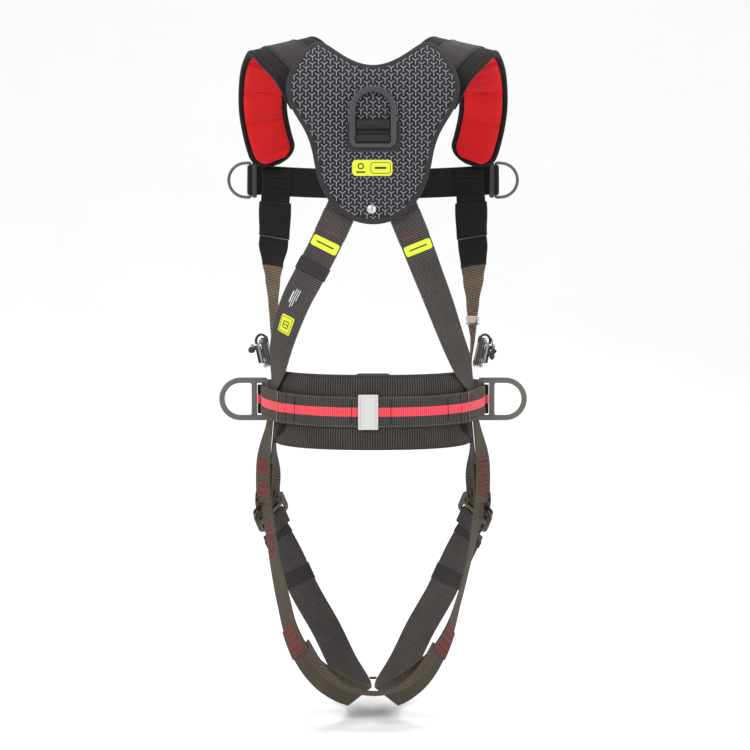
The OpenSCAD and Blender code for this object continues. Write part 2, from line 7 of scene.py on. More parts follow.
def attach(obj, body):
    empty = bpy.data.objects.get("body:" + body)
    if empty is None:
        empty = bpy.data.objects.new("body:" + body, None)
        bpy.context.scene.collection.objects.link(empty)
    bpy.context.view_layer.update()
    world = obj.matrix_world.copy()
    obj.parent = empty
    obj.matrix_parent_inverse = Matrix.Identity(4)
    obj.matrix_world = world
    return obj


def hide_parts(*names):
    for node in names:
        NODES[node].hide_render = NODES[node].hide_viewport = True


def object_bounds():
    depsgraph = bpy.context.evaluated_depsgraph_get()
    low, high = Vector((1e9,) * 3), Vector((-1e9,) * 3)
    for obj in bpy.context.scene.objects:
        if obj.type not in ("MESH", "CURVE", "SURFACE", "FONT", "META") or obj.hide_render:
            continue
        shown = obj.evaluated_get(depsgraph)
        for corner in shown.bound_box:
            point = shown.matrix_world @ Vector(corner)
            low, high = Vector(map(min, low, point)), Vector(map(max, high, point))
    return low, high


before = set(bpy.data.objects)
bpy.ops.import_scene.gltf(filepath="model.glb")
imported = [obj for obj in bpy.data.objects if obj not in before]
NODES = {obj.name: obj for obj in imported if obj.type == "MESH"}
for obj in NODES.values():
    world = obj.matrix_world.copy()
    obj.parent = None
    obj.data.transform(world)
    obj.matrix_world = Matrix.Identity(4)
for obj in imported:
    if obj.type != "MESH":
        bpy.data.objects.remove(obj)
CAD_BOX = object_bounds()
MM = 0.001
TAU = 2 * pi

# ---- driving sizes, in millimetres
WEB_W = 45.0
WEB_T = 2.4
HALF_T = WEB_T / 2
RIB = 3.0            # pitch of the ribs woven across the webbing
PLY = 0.9            # gap between the layers of a pad


# ---- shapes of curves
def bumps(x, y, z):
    """Smooth random heights between -1 and 1, the same in every run."""
    return noise.noise(Vector((x, y, z)))


def dome(x, power=2):
    """1 where x is 0, falling to 0 where x is 1 or -1."""
    return sqrt(max(0.0, 1 - abs(x) ** power))


def corner_cut(e, r):
    """How far a corner of radius r draws an edge in, at e from the end."""
    return r - sqrt(max(0.0, r * r - (r - min(e, r)) ** 2))


def ease(f):
    """0 to 1 with a soft start and end."""
    f = min(max(f, 0.0), 1.0)
    return f * f * (3 - 2 * f)


# ---- meshes
SIDE = ""            # "right" or "left" while a pair of pieces is built


def each_side(*makers):
    """Builds pieces on the right side and then, mirrored, on the left."""
    global SIDE
    for SIDE in ("right", "left"):
        for make in makers:
            make()
    SIDE = ""


def sided(text):
    """A name in which a star stands for the side being built."""
    return text.replace("*", SIDE)


def add_mesh(name, verts, faces, mat, body="root", uvs=None, sharp=50, replaces=(), slot=None):
    """A piece from points in millimetres, mirrored while the left side is being built."""
    name, flip = sided(name), SIDE == "left"
    side = -1 if flip else 1
    me = bpy.data.meshes.new(name)
    me.from_pydata([(side * p[0] * MM, p[1] * MM, p[2] * MM) for p in verts], [],
        [tuple(reversed(f)) for f in faces] if flip else faces)
    if uvs is not None:
        layer = me.uv_layers.new(name="cloth")
        index = [0] * len(me.loops)
        me.loops.foreach_get("vertex_index", index)
        layer.data.foreach_set("uv", [c * MM for i in index for c in uvs[i]])
    me.materials.append(mat)
    me.polygons.foreach_set("use_smooth", [True] * len(me.polygons))
    if sharp:
        me.set_sharp_from_angle(angle=radians(sharp))
    me.update()
    ob = bpy.data.objects.new(name, me)
    bpy.context.scene.collection.objects.link(ob)
    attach(ob, sided(body))
    if replaces:
        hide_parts(*map(sided, replaces))
    return ob


def rings_to_faces(count, size, closed=False):
    """Faces of a tube made of count rings of size points each."""
    faces = []
    for k in range(count if closed else count - 1):
        a, b = k * size, ((k + 1) % count) * size
        for j in range(size):
            m = (j + 1) % size
            faces.append((a + m, a + j, b + j, b + m))
    if not closed:
        faces.append(tuple(range(size)))
        faces.append(tuple(reversed(range((count - 1) * size, count * size))))
    return faces


def oval(a, b, n=12, power=2.5):
    """A rounded-rectangle outline with half sizes a and b."""
    out = []
    for k in range(n):
        t = TAU * k / n
        c, s = cos(t), sin(t)
        r = (abs(c) ** power + abs(s) ** power) ** (-1 / power)
        out.append((a * r * c, b * r * s))
    return out


def sweep(name, frames, outline, mat, closed=False, **kw):
    """outline carried along frames, each (place, side, up)."""
    verts, uvs, run = [], [], 0.0
    last = None
    for p, a, b in frames:
        if last is not None:
            run += (p - last).length
        last = p
        for x, y in outline:
            verts.append(p + a * x + b * y)
            uvs.append((x, run))
    return add_mesh(name, verts, rings_to_faces(len(frames), len(outline), closed), mat, uvs=uvs, **kw)


def smooth_line(points, per=8, closed=False):
    """A smooth curve through points."""
    pts = [list(p) for p in points]
    n = len(pts)
    out = []
    for i in range(n if closed else n - 1):
        four = [pts[(i + k) % n] if closed else pts[min(max(i + k, 0), n - 1)] for k in (-1, 0, 1, 2)]
        for j in range(per):
            out.append(Vector(catmull(four, 1 + j / per)))
    if not closed:
        out.append(Vector(pts[-1]))
    return out


def tube(name, pts, r, mat, closed=False, n=12, flat=1.0, **kw):
    """A round wire or cord along pts."""
    pts = [Vector(p) for p in pts]
    m = len(pts)
    frames = []
    up = None
    for k in range(m):
        a = pts[(k - 1) % m] if closed or k > 0 else pts[0]
        b = pts[(k + 1) % m] if closed or k < m - 1 else pts[-1]
        t = (b - a).normalized()
        if up is None:
            up = t.orthogonal().normalized()
        up = (up - t * up.dot(t)).normalized()
        frames.append((pts[k], t.cross(up), up))
    return sweep(name, frames, oval(r, r * flat, n, 2), mat, closed, **kw)


# ---- routes
def catmull(p, s):
    """Values on a smooth curve through the rows of p, s counted in rows."""
    n = len(p) - 1
    i = min(int(s), n - 1)
    t = s - i
    a, b, c, d = p[max(i - 1, 0)], p[i], p[i + 1], p[min(i + 2, n)]
    return [0.5 * (2 * f + (g - e) * t + (2 * e - 5 * f + 4 * g - h) * t * t
        + (3 * f - e - 3 * g + h) * t ** 3) for e, f, g, h in zip(a, b, c, d)]


def frame_at(route, s):
    """Place, width direction, face normal and direction of a strap at s."""
    e = 0.02
    q = catmull(route, s)
    a = catmull(route, max(s - e, 0))
    b = catmull(route, min(s + e, len(route) - 1))
    t = (Vector(b[:3]) - Vector(a[:3])).normalized()
    w = Vector(q[3:6])
    w = (w - t * w.dot(t)).normalized()
    return Vector(q[:3]), w, t.cross(w), t


class Run:
    """A route measured along its length, in millimetres."""

    def __init__(self, route, s0=0.0, s1=None, n=260):
        s1 = len(route) - 1 if s1 is None else s1
        self.s0, self.s1, self.n = s0, s1, n
        self.f = [frame_at(route, s0 + (s1 - s0) * k / n) for k in range(n + 1)]
        self.d = [0.0]
        for a, b in zip(self.f, self.f[1:]):
            self.d.append(self.d[-1] + (b[0] - a[0]).length)
        self.length = self.d[-1]
        self.spread = [catmull(route, s0 + (s1 - s0) * k / n)[6] if len(route[0]) > 6 else 1.0
            for k in range(n + 1)]

    def wide(self, d):
        """The route's own width factor, its seventh value."""
        i = min(max(bisect_right(self.d, d) - 1, 0), self.n - 1)
        t = min(1.0, (d - self.d[i]) / max(self.d[i + 1] - self.d[i], 1e-9))
        return self.spread[i] + (self.spread[i + 1] - self.spread[i]) * t

    def at_s(self, s):
        """Length along the run where the route's own count is s."""
        k = (s - self.s0) / (self.s1 - self.s0) * self.n
        i = min(int(k), self.n - 1)
        return self.d[i] + (self.d[i + 1] - self.d[i]) * (k - i)

    def at(self, d):
        i = min(max(bisect_right(self.d, d) - 1, 0), self.n - 1)
        t = (d - self.d[i]) / max(self.d[i + 1] - self.d[i], 1e-9)
        a, b = self.f[i], self.f[i + 1]
        p = a[0].lerp(b[0], t)
        w = a[1].lerp(b[1], t).normalized()
        g = a[3].lerp(b[3], t).normalized()
        return p, w, g.cross(w).normalized(), g

    def point(self, d, x=0.0, off=0.0):
        p, w, n, _ = self.at(d)
        return p + w * x + n * off


def ribbon(name, run, w, lo, hi, mat, d0=0.0, d1=None, rib=0.0, pitch=RIB, step=None, cols=8, bow=0.0,
        wob=0.0, edge=0.4, seed=0.0, narrow=None, lift=None, cap=1.5, **kw):
    """Webbing between faces lo and hi off a run, with woven ribs and rounded selvages."""
    d1 = run.length if d1 is None else d1
    step = step or (pitch / 4 if rib else 3.0)
    n = max(3, round((d1 - d0) / step))
    inner = [-0.93 + 1.86 * j / cols for j in range(cols + 1)]
    across = [-1.0, -0.975] + inner + [0.975, 1.0]
    mid, half = (lo + hi) / 2, (hi - lo) / 2
    verts, uvs = [], []
    for k in range(n + 1):
        d = d0 + (d1 - d0) * k / n
        p, u, nn, _ = run.at(d)
        r = rib * 0.5 * cos(TAU * d / pitch)
        ww = w * (narrow(d) if narrow else 1.0)
        up = lift(d) if lift else 0.0
        end = min(d - d0, d1 - d) / cap if cap else 1.0
        shut = 0.45 + 0.55 * dome(1 - min(end, 1.0))
        for face in (1, -1):
            for a in (across if face > 0 else across[::-1]):
                e = edge + (1 - edge) * dome(a, 14)
                h = mid + up + bow * (1 - a * a) + face * (half + r) * e * shut
                if wob:
                    h += wob * bumps(d * 0.022 + seed, a * 0.9, seed)
                x = a * ww / 2 + (0.12 * bumps(d * 0.3, a + seed, 3.0) if abs(a) > 0.95 else 0.0)
                verts.append(p + u * x + nn * h)
                uvs.append((a * ww / 2, d))
    return add_mesh(name, verts, rings_to_faces(n + 1, 2 * len(across)), mat, uvs=uvs, **kw)


# ---- thread
def add_stitch(verts, faces, p, q, across, up, r, sunk, top, flat):
    """A five-sided rod from p to q, its ends sunk into the cloth."""
    base = len(verts)
    for f, h in ((0.0, -sunk), (0.2, top), (0.8, top), (1.0, -sunk)):
        c = p.lerp(q, f) + up * h * r
        for k in range(5):
            w = TAU * k / 5
            verts.append(c + across * r * cos(w) + up * r * flat * sin(w))
    for k in range(base, base + 15, 5):
        for j in range(5):
            m = (j + 1) % 5
            faces.append((k + j, k + m, k + 5 + m, k + 5 + j))


def stitches(name, run, spots, off, mat, r=0.34, **kw):
    """Raised stitches between the ends (d, x) in spots, on the face at off."""
    verts, faces = [], []
    side = 1 if off > 0 else -1
    for d0, x0, d1, x1 in spots:
        p, q = run.point(d0, x0, off), run.point(d1, x1, off)
        up = run.at((d0 + d1) / 2)[2] * side
        add_stitch(verts, faces, p, q, (q - p).normalized().cross(up), up, r, 0.7, 0.45, 0.8)
    return add_mesh(name, verts, faces, mat, sharp=0, **kw)


def on_both_faces(names, run, spots, off, mat, **kw):
    """The same stitches on a strap's outer and inner face."""
    for name, place in zip(names, (off, -off)):
        stitches(name, run, spots, place, mat, **kw)


def seam(d0, x0, d1, x1, pitch=3.6, fill=0.72):
    """Stitch ends along a straight seam."""
    length = hypot(d1 - d0, x1 - x0)
    n = max(1, round(length / pitch))
    out = []
    for k in range(n):
        a, b = (k + (1 - fill) / 2) / n, (k + (1 + fill) / 2) / n
        out.append((d0 + (d1 - d0) * a, x0 + (x1 - x0) * a, d0 + (d1 - d0) * b, x0 + (x1 - x0) * b))
    return out


def zigzag(d0, x0, d1, x1, amp=2.0, pitch=1.5):
    """A bar tack: stitches that swing from side to side along a line."""
    length = hypot(d1 - d0, x1 - x0)
    n = max(2, round(length / pitch))
    dd, xx = (d1 - d0) / length, (x1 - x0) / length
    out = []
    for k in range(n):
        a, b = length * k / n, length * (k + 1) / n
        s = (amp / 2 if k % 2 else -amp / 2) * (1 + 0.5 * bumps(k * 0.9, d0 * 1.3, x0 * 1.7))
        out.append((d0 + dd * a - xx * s, x0 + xx * a + dd * s, d0 + dd * b + xx * s, x0 + xx * b - dd * s))
    return out


def tack_block(d0, d1, x0, x1, rows, amp=2.2, pitch=1.5):
    """Bar tacks side by side across a strap, evenly from d0 to d1."""
    out = []
    for k in range(rows):
        d = d0 + (d1 - d0) * k / max(rows - 1, 1)
        out += zigzag(d, x0, d, x1, amp, pitch)
    return out


# ---- materials
def rgb(r, g, b):
    """Linear colour from 8-bit display values."""
    return tuple(((c / 255 + 0.055) / 1.055) ** 2.4 if c > 10 else c / 255 / 12.92
        for c in (r, g, b)) + (1.0,)


class Mat:
    """A small wrapper for building a material's nodes."""

    def __init__(self, name, rough=0.8, metallic=0.0, spec=0.3, sheen=0.0, coat=0.0):
        self.m = bpy.data.materials.new(name)
        self.m.use_nodes = True
        self.t = self.m.node_tree
        self.b = self.t.nodes["Principled BSDF"]
        for key, value in (("Roughness", rough), ("Metallic", metallic), ("Specular IOR Level", spec),
                ("Sheen Weight", sheen), ("Sheen Roughness", 0.5), ("Coat Weight", coat),
                ("Coat Roughness", 0.25)):
            self.b.inputs[key].default_value = value

    def put(self, socket, value):
        if hasattr(value, "is_output"):
            self.t.links.new(value, socket)
        else:
            socket.default_value = value

    def node(self, kind, **settings):
        n = self.t.nodes.new(kind)
        for key, value in settings.items():
            setattr(n, key, value)
        return n

    def math(self, op, a, b=0.0, clamp=False):
        n = self.node("ShaderNodeMath", operation=op, use_clamp=clamp)
        self.put(n.inputs[0], a)
        self.put(n.inputs[1], b)
        return n.outputs[0]

    def add(self, a, b, clamp=False):
        return self.math("ADD", a, b, clamp)

    def sub(self, a, b):
        return self.math("SUBTRACT", a, b)

    def mul(self, a, b, clamp=False):
        return self.math("MULTIPLY", a, b, clamp)

    def wave(self, x, pitch):
        """From 0 to 1, at its top where x is a whole number of pitches."""
        c = self.math("COSINE", self.mul(x, TAU / pitch))
        return self.add(self.mul(c, 0.5), 0.5)

    def noise(self, vector, scale, detail=3.0, rough=0.55):
        n = self.node("ShaderNodeTexNoise")
        self.put(n.inputs["Vector"], vector)
        n.inputs["Scale"].default_value = scale
        n.inputs["Detail"].default_value = detail
        n.inputs["Roughness"].default_value = rough
        return n.outputs["Fac"]

    def mix(self, f, a, b):
        n = self.node("ShaderNodeMix", data_type="RGBA")
        self.put(n.inputs["Factor"], f)
        self.put(n.inputs["A"], a)
        self.put(n.inputs["B"], b)
        return n.outputs["Result"]

    def coords(self, kind="Object"):
        return self.node("ShaderNodeTexCoord").outputs[kind]

    def split(self, v):
        n = self.node("ShaderNodeSeparateXYZ")
        self.put(n.inputs[0], v)
        return n.outputs[0], n.outputs[1], n.outputs[2]

    def scaled(self, v, by):
        n = self.node("ShaderNodeMapping")
        self.put(n.inputs["Vector"], v)
        n.inputs["Scale"].default_value = by
        return n.outputs[0]

    def spread(self, f, lo, hi):
        """f from 0..1 laid out between lo and hi."""
        return self.add(self.mul(f, hi - lo), lo)

    def finish(self, color, height=None, depth=0.3, strength=0.7, rough=None):
        self.put(self.b.inputs["Base Color"], color)
        if rough is not None:
            self.put(self.b.inputs["Roughness"], rough)
        if height is not None:
            n = self.node("ShaderNodeBump")
            n.inputs["Strength"].default_value = strength
            n.inputs["Distance"].default_value = depth * MM
            self.put(n.inputs["Height"], height)
            self.put(self.b.inputs["Normal"], n.outputs[0])
        return self.m


def webbing(name, dark, light, pitch=RIB, thread=1.5, rough=0.78, sheen=0.06, spec=0.12, sharp=1.2,
        width=WEB_W):
    """Ribbed polyester webbing, drawn from its own length and width."""
    m = Mat(name, rough, spec=spec, sheen=sheen)
    uv = m.coords("UV")
    u, v, _ = m.split(uv)
    fuzz = m.noise(m.coords(), 900.0, 2.0)
    patch = m.noise(m.coords(), 26.0, 3.0)
    v2 = m.add(v, m.mul(m.sub(fuzz, 0.5), 0.25 * pitch * MM))
    ribs = m.math("POWER", m.wave(v2, pitch * MM), sharp)
    twill = m.wave(m.add(u, m.mul(v, 0.32)), thread * MM)
    yarn = m.mul(ribs, m.spread(twill, 0.45, 1.0))
    edge_wear_and_highlight = m.math("GREATER_THAN", m.math("ABSOLUTE", u), (width / 2 - 1.3) * MM)
    f = m.add(yarn, m.mul(edge_wear_and_highlight, 0.12))
    f = m.add(f, m.mul(m.sub(fuzz, 0.5), 0.35))
    f = m.mul(f, m.spread(patch, 0.55, 1.4), clamp=True)
    height = m.add(ribs, m.mul(twill, 0.35))
    return m.finish(m.mix(f, rgb(*dark), rgb(*light)), height, 0.45, 0.8,
        m.spread(patch, rough - 0.1, rough + 0.12))


def cloth(name, dark, light, pitch=0.9, rough=0.85, sheen=0.3, spec=0.25, depth=0.2, grain=0.5):
    """Plain close-woven fabric, drawn in the object's own space."""
    m = Mat(name, rough, spec=spec, sheen=sheen)
    o = m.coords()
    x, y, z = m.split(o)
    a = m.wave(m.add(x, m.mul(y, 0.6)), pitch * MM)
    b = m.wave(m.sub(z, m.mul(y, 0.5)), pitch * MM)
    weave = m.mul(a, b)
    fuzz = m.noise(o, 1400.0, 2.0)
    patch = m.noise(o, 18.0, 4.0)
    f = m.add(m.mul(weave, grain), m.mul(fuzz, 0.4))
    f = m.mul(f, m.spread(patch, 0.6, 1.4), clamp=True)
    height = m.add(weave, m.mul(fuzz, 0.6))
    return m.finish(m.mix(f, rgb(*dark), rgb(*light)), height, depth, 0.7,
        m.spread(patch, rough - 0.08, rough + 0.1))


def metal(name, base, edge, rough=0.42, metallic=0.75, spec=0.5, coat=0.0, scratch=0.35, grain=260.0):
    """Coated or bare metal with a fine grain, faint scratches and a painted highlight on its convex edges.
    """
    m = Mat(name, rough, metallic, spec, coat=coat)
    o = m.coords()
    fine = m.noise(o, grain, 4.0, 0.7)
    broad = m.noise(o, 22.0, 3.0)
    lines = m.noise(m.scaled(o, (40.0, 40.0, 900.0)), 1.0, 2.0)
    geo = m.node("ShaderNodeNewGeometry").outputs["Pointiness"]
    # convex edges are made lighter here: a painted edge highlight, broken up by the fine grain
    edge_wear_and_highlight = m.mul(m.sub(geo, 0.515), 9.0, clamp=True)
    edge_wear_and_highlight = m.mul(edge_wear_and_highlight, m.spread(fine, 0.3, 1.1), clamp=True)
    marks = m.mul(m.math("GREATER_THAN", lines, 0.66), scratch * 0.5)
    f = m.add(m.add(edge_wear_and_highlight, marks), m.mul(m.sub(broad, 0.4), 0.3), clamp=True)
    height = m.add(m.mul(fine, 0.6), lines)
    return m.finish(m.mix(f, rgb(*base), rgb(*edge)), height, 0.06, 0.45,
        m.add(m.spread(broad, rough - 0.1, rough + 0.12), m.mul(fine, 0.06)))


def plastic(name, base, light, rough=0.5, spec=0.4, grain=900.0, coat=0.0):
    """Moulded plastic with a fine spark texture and a painted highlight on its convex edges."""
    m = Mat(name, rough, spec=spec, coat=coat)
    o = m.coords()
    fine = m.noise(o, grain, 2.0)
    broad = m.noise(o, 30.0, 3.0)
    geo = m.node("ShaderNodeNewGeometry").outputs["Pointiness"]
    # convex edges are made lighter here: a painted edge highlight
    edge_wear_and_highlight = m.mul(m.sub(geo, 0.52), 6.0, clamp=True)
    f = m.add(m.mul(edge_wear_and_highlight, 0.6), m.mul(broad, 0.25), clamp=True)
    return m.finish(m.mix(f, rgb(*base), rgb(*light)), fine, 0.08, 0.5,
        m.spread(broad, rough - 0.08, rough + 0.1))


CHARCOAL = webbing("webbing_charcoal", (30, 28, 29), (106, 100, 97))
BROWN = webbing("webbing_brown", (38, 33, 28), (106, 95, 82))
FRONT_WEB = webbing("webbing_front", (38, 31, 25), (168, 151, 128), sharp=1.7)
KEEPER = webbing("webbing_keeper", (38, 36, 37), (68, 64, 65), sharp=1.0, sheen=0.05)
OLIVE = webbing("webbing_olive", (46, 41, 34), (98, 89, 77), sharp=1.0)
BLACK = webbing("webbing_black", (20, 19, 19), (46, 43, 41), pitch=2.6, thread=1.1, spec=0.1, sheen=0.05)
SMOOTH = webbing("webbing_smooth", (27, 24, 22), (50, 44, 39), pitch=2.2, thread=1.0, sharp=0.9, rough=0.55,
    spec=0.25, sheen=0.04)
ELASTIC = webbing("elastic_black", (24, 23, 24), (46, 44, 44), pitch=1.4, thread=0.9, sharp=0.9, rough=0.85,
    spec=0.1, sheen=0.05)
BELT_WEB = webbing("webbing_belt", (28, 26, 26), (84, 79, 76), pitch=3.2, thread=1.3, sharp=1.1, rough=0.6,
    spec=0.2, sheen=0.05)
BANDS = webbing("ring_bands", (6, 6, 7), (26, 24, 25), pitch=1.3, thread=3.1, sharp=1.6, rough=0.4,
    spec=0.4, sheen=0.0, width=900)
STRIPE = webbing("stripe_red", (196, 34, 48), (244, 88, 102), pitch=3.1, thread=1.2, sharp=0.9, rough=0.7,
    width=13, spec=0.3, sheen=0.25)
RIBBED = webbing("belt_ribs", (25, 23, 23), (88, 83, 79), pitch=3.35, thread=2.6, sharp=1.3, width=900)
PAD = cloth("pad_cloth", (29, 29, 34), (52, 52, 58), 0.8, 0.9, sheen=0.08, spec=0.1)
PRINT = cloth("pad_print", (116, 116, 120), (150, 150, 154), 0.7, 0.8, sheen=0.05, spec=0.1)
BINDING = cloth("binding_tape", (36, 34, 35), (70, 66, 66), 0.7, 0.85, grain=0.6, sheen=0.08, spec=0.1)
SHELL = cloth("shoulder_knit", (18, 17, 17), (44, 41, 40), 1.3, 0.8, sheen=0.05, spec=0.12, depth=0.3)
RED = cloth("lining_red", (176, 12, 20), (240, 38, 44), 1.0, 0.75, sheen=0.08, spec=0.15, depth=0.3,
    grain=0.6)
LINING = cloth("lining_mesh", (18, 18, 19), (52, 52, 55), 2.2, 0.9, depth=0.6)
YELLOW = cloth("label_yellow", (192, 202, 44), (220, 228, 74), 0.6, 0.6, sheen=0.1, depth=0.06)
INK = plastic("label_ink", (26, 26, 24), (50, 50, 46), 0.7)
GLOSS = plastic("label_black", (22, 22, 24), (60, 60, 62), 0.28, 0.5, coat=0.4)
WHITE_INK = plastic("label_white", (206, 206, 204), (232, 232, 230), 0.6)
SILVER_TAPE = cloth("label_silver", (176, 176, 174), (206, 206, 204), 0.7, 0.5, depth=0.08)
RED_THREAD = cloth("thread_red", (120, 42, 44), (190, 88, 86), 0.5, 0.6, sheen=0.05, spec=0.1)
DARK_THREAD = cloth("thread_dark", (22, 21, 21), (52, 50, 48), 0.5, 0.7, sheen=0.03, spec=0.08)
GREY_THREAD = cloth("thread_grey", (78, 74, 68), (128, 122, 112), 0.5, 0.6)
CREAM_THREAD = cloth("thread_cream", (176, 150, 126), (222, 204, 180), 0.5, 0.6, sheen=0.05, spec=0.1)
STEEL = metal("ring_steel", (54, 54, 56), (104, 102, 100), 0.5, 0.3, scratch=0.2)
SIDE_STEEL = metal("ring_side", (88, 84, 79), (138, 132, 124), 0.48, 0.3, scratch=0.2)
BRONZE = metal("ring_bronze", (80, 75, 68), (146, 138, 124), 0.42, 0.45)
DARK_METAL = metal("adjuster_metal", (38, 37, 37), (176, 174, 170), 0.34, 0.7)
BRIGHT = metal("bright_metal", (196, 192, 184), (240, 238, 232), 0.28, 1.0)
PLASTIC = plastic("black_plastic", (22, 22, 23), (70, 69, 68), 0.45)
RED_PLASTIC = plastic("red_plastic", (168, 20, 24), (214, 60, 58), 0.35)


# ---- flat plates
def circle_arc(cx, cy, r, a0, a1, n):
    """Points of an arc from a0 to a1 degrees."""
    return [(cx + r * cos(radians(a0 + (a1 - a0) * k / n)), cy + r * sin(radians(a0 + (a1 - a0) * k / n)))
        for k in range(n + 1)]


def rounded(w, h, r, cx=0.0, cy=0.0, n=8):
    """A rectangle with round corners about cx, cy."""
    out = []
    for sx, sy, a in ((1, 1, 0), (-1, 1, 90), (-1, -1, 180), (1, -1, 270)):
        out += circle_arc(cx + sx * (w / 2 - r), cy + sy * (h / 2 - r), r, a, a + 90, n)
    return out


def plate(name, loops, t, bevel, place, mat, **kw):
    """A flat piece cut to loops, t thick with rounded edges, put in place by a matrix."""
    cu = bpy.data.curves.new(name + "_outline", "CURVE")
    cu.dimensions = "2D"
    cu.fill_mode = "BOTH"
    cu.extrude = t / 2 - bevel
    cu.bevel_depth = bevel
    cu.bevel_resolution = 3
    cu.offset = -bevel
    for loop in loops:
        # the outline is taken in by the bevel only where a loop turns counter-clockwise
        if sum(p[0] * q[1] - q[0] * p[1] for p, q in zip(loop, loop[1:] + loop[:1])) < 0:
            loop = loop[::-1]
        sp = cu.splines.new("POLY")
        sp.points.add(len(loop) - 1)
        for q, (x, y) in zip(sp.points, loop):
            q.co = (x, y, 0, 1)
        sp.use_cyclic_u = True
    ob = bpy.data.objects.new(name + "_outline", cu)
    bpy.context.scene.collection.objects.link(ob)
    deps = bpy.context.evaluated_depsgraph_get()
    me = bpy.data.meshes.new_from_object(ob.evaluated_get(deps))
    verts = [place @ v.co for v in me.vertices]
    faces = [tuple(p.vertices) for p in me.polygons]
    bpy.data.objects.remove(ob)
    bpy.data.meshes.remove(me)
    bpy.data.curves.remove(cu)
    kw.setdefault("sharp", 35)
    return add_mesh(name, verts, faces, mat, **kw)


def stand(x, y, z):
    """Stands a flat drawing up in x and z, with its face towards -Y."""
    return Matrix(((1, 0, 0, x), (0, 0, -1, y), (0, 1, 0, z), (0, 0, 0, 1)))


def lathe(name, outline, place, mat, n=40, **kw):
    """A turned piece from (radius, height) pairs round the third axis of place."""
    verts = []
    for r, h in outline:
        for k in range(n):
            a = TAU * k / n
            verts.append(place @ Vector((r * cos(a), r * sin(a), h)))
    faces = rings_to_faces(len(outline), n)
    return add_mesh(name, verts, [tuple(reversed(f)) for f in faces], mat, sharp=40, **kw)


def dress(node, mat, bevel=0.4):
    """Gives a kept CAD node its material and breaks its edges."""
    ob = NODES[sided(node)]
    for k in range(max(1, len(ob.data.materials))):
        if k < len(ob.material_slots):
            ob.material_slots[k].link = "OBJECT"
            ob.material_slots[k].material = mat
        else:
            ob.data.materials.append(mat)
    if bevel:
        mod = ob.modifiers.new("edges", "BEVEL")
        mod.width = bevel * MM
        mod.segments = 2
        mod.limit_method = "ANGLE"
        mod.angle_limit = radians(40)
        mod.harden_normals = False


# ---- back pad
PAD_HALF = [[70], [82], [86], [97], [118], [127], [110], [86]]
NECK_Z, PEAK_Z, PAD_FOOT, PAD_CORNER = 102, 147, 123, 84
BIND_W = 10.0
PAD_T = 1.5 + 5 + 2 + 2 * PLY
BEND_Z, BEND_RUN, BEND_RISE, WRAP = 50, 98, 55, 0.0006


def rise(z):
    """How far up its bend over the shoulders the pad is at z."""
    return (z - BEND_Z) / BEND_RUN if z > BEND_Z else 0.0


def back_point(x, z, off):
    """A point off behind the wearer's back at x and z."""
    return Vector((x, BEND_RISE * rise(z) ** 2 + WRAP * x * x, z)) + back_normal(x, z) * off


def back_normal(x, z):
    return Vector((2 * WRAP * x, -1, 2 * BEND_RISE * rise(z) / BEND_RUN)).normalized()


def pad_xz(u, v, inset):
    """x and z on the pad, u from side to side and v from foot to neck."""
    low = -PAD_FOOT + (PAD_FOOT - PAD_CORNER) * abs(u) ** 2.4 + inset
    high = NECK_Z + (PEAK_Z - NECK_Z) * abs(u) ** 1.8 - inset
    return Vector((u * (catmull(PAD_HALF, 7 * v)[0] - inset), low + (high - low) * v))


def pad_outline(inset, count=300, rounds=60):
    """The pad's edge as an even closed line in x and z, its corners rounded."""
    m = 40
    uv = [(2 * j / m - 1, 0) for j in range(m)] + [(1, i / m) for i in range(m)]
    uv += [(1 - 2 * j / m, 1) for j in range(m)] + [(-1, 1 - i / m) for i in range(m)]
    pts = [pad_xz(u, v, inset) for u, v in uv]

    def even(line, n):
        d = [0.0]
        for a, b in zip(line, line[1:] + line[:1]):
            d.append(d[-1] + (b - a).length)
        out, i = [], 0
        for k in range(n):
            s = d[-1] * k / n
            while d[i + 1] < s:
                i += 1
            t = (s - d[i]) / max(d[i + 1] - d[i], 1e-9)
            out.append(line[i].lerp(line[(i + 1) % len(line)], t))
        return out
    pts = even(pts, count)
    for _ in range(rounds):
        pts = [(pts[k - 1] + 2 * pts[k] + pts[(k + 1) % count]) / 4 for k in range(count)]
    return pts


PAD_EDGE = pad_outline(BIND_W * 0.5)
PAD_MID = Vector((0, 10))
PAD_POLAR = sorted((atan2(p.y - PAD_MID.y, p.x - PAD_MID.x), (p - PAD_MID).length) for p in PAD_EDGE)
PAD_ANGLES = [a for a, _ in PAD_POLAR]


def pad_reach(x, z):
    """0 at the middle of the pad, 1 at its edge."""
    a = atan2(z - PAD_MID.y, x - PAD_MID.x)
    i = bisect_right(PAD_ANGLES, a) % len(PAD_POLAR)
    (a0, r0), (a1, r1) = PAD_POLAR[i - 1], PAD_POLAR[i]
    t = ((a - a0) % TAU) / max((a1 - a0) % TAU, 1e-6)
    return hypot(x - PAD_MID.x, z - PAD_MID.y) / (r0 + (r1 - r0) * t)


def pad_half_thick(x, z, f):
    """Half the pad's thickness, swollen inside the seam and softly quilted."""
    swell = dome(min(f, 1.0), 16)
    quilt = 0.25 * bumps(x * 0.03, z * 0.03, 2.0)
    return PAD_T / 2 * (0.55 + 0.5 * swell) + quilt * swell


def pad_face(x, z, side, f=None):
    """A point on the outer face, side 1, or on the inner one, side -1."""
    f = pad_reach(x, z) if f is None else f
    return back_point(x, z, PAD_T / 2 + side * pad_half_thick(x, z, f))


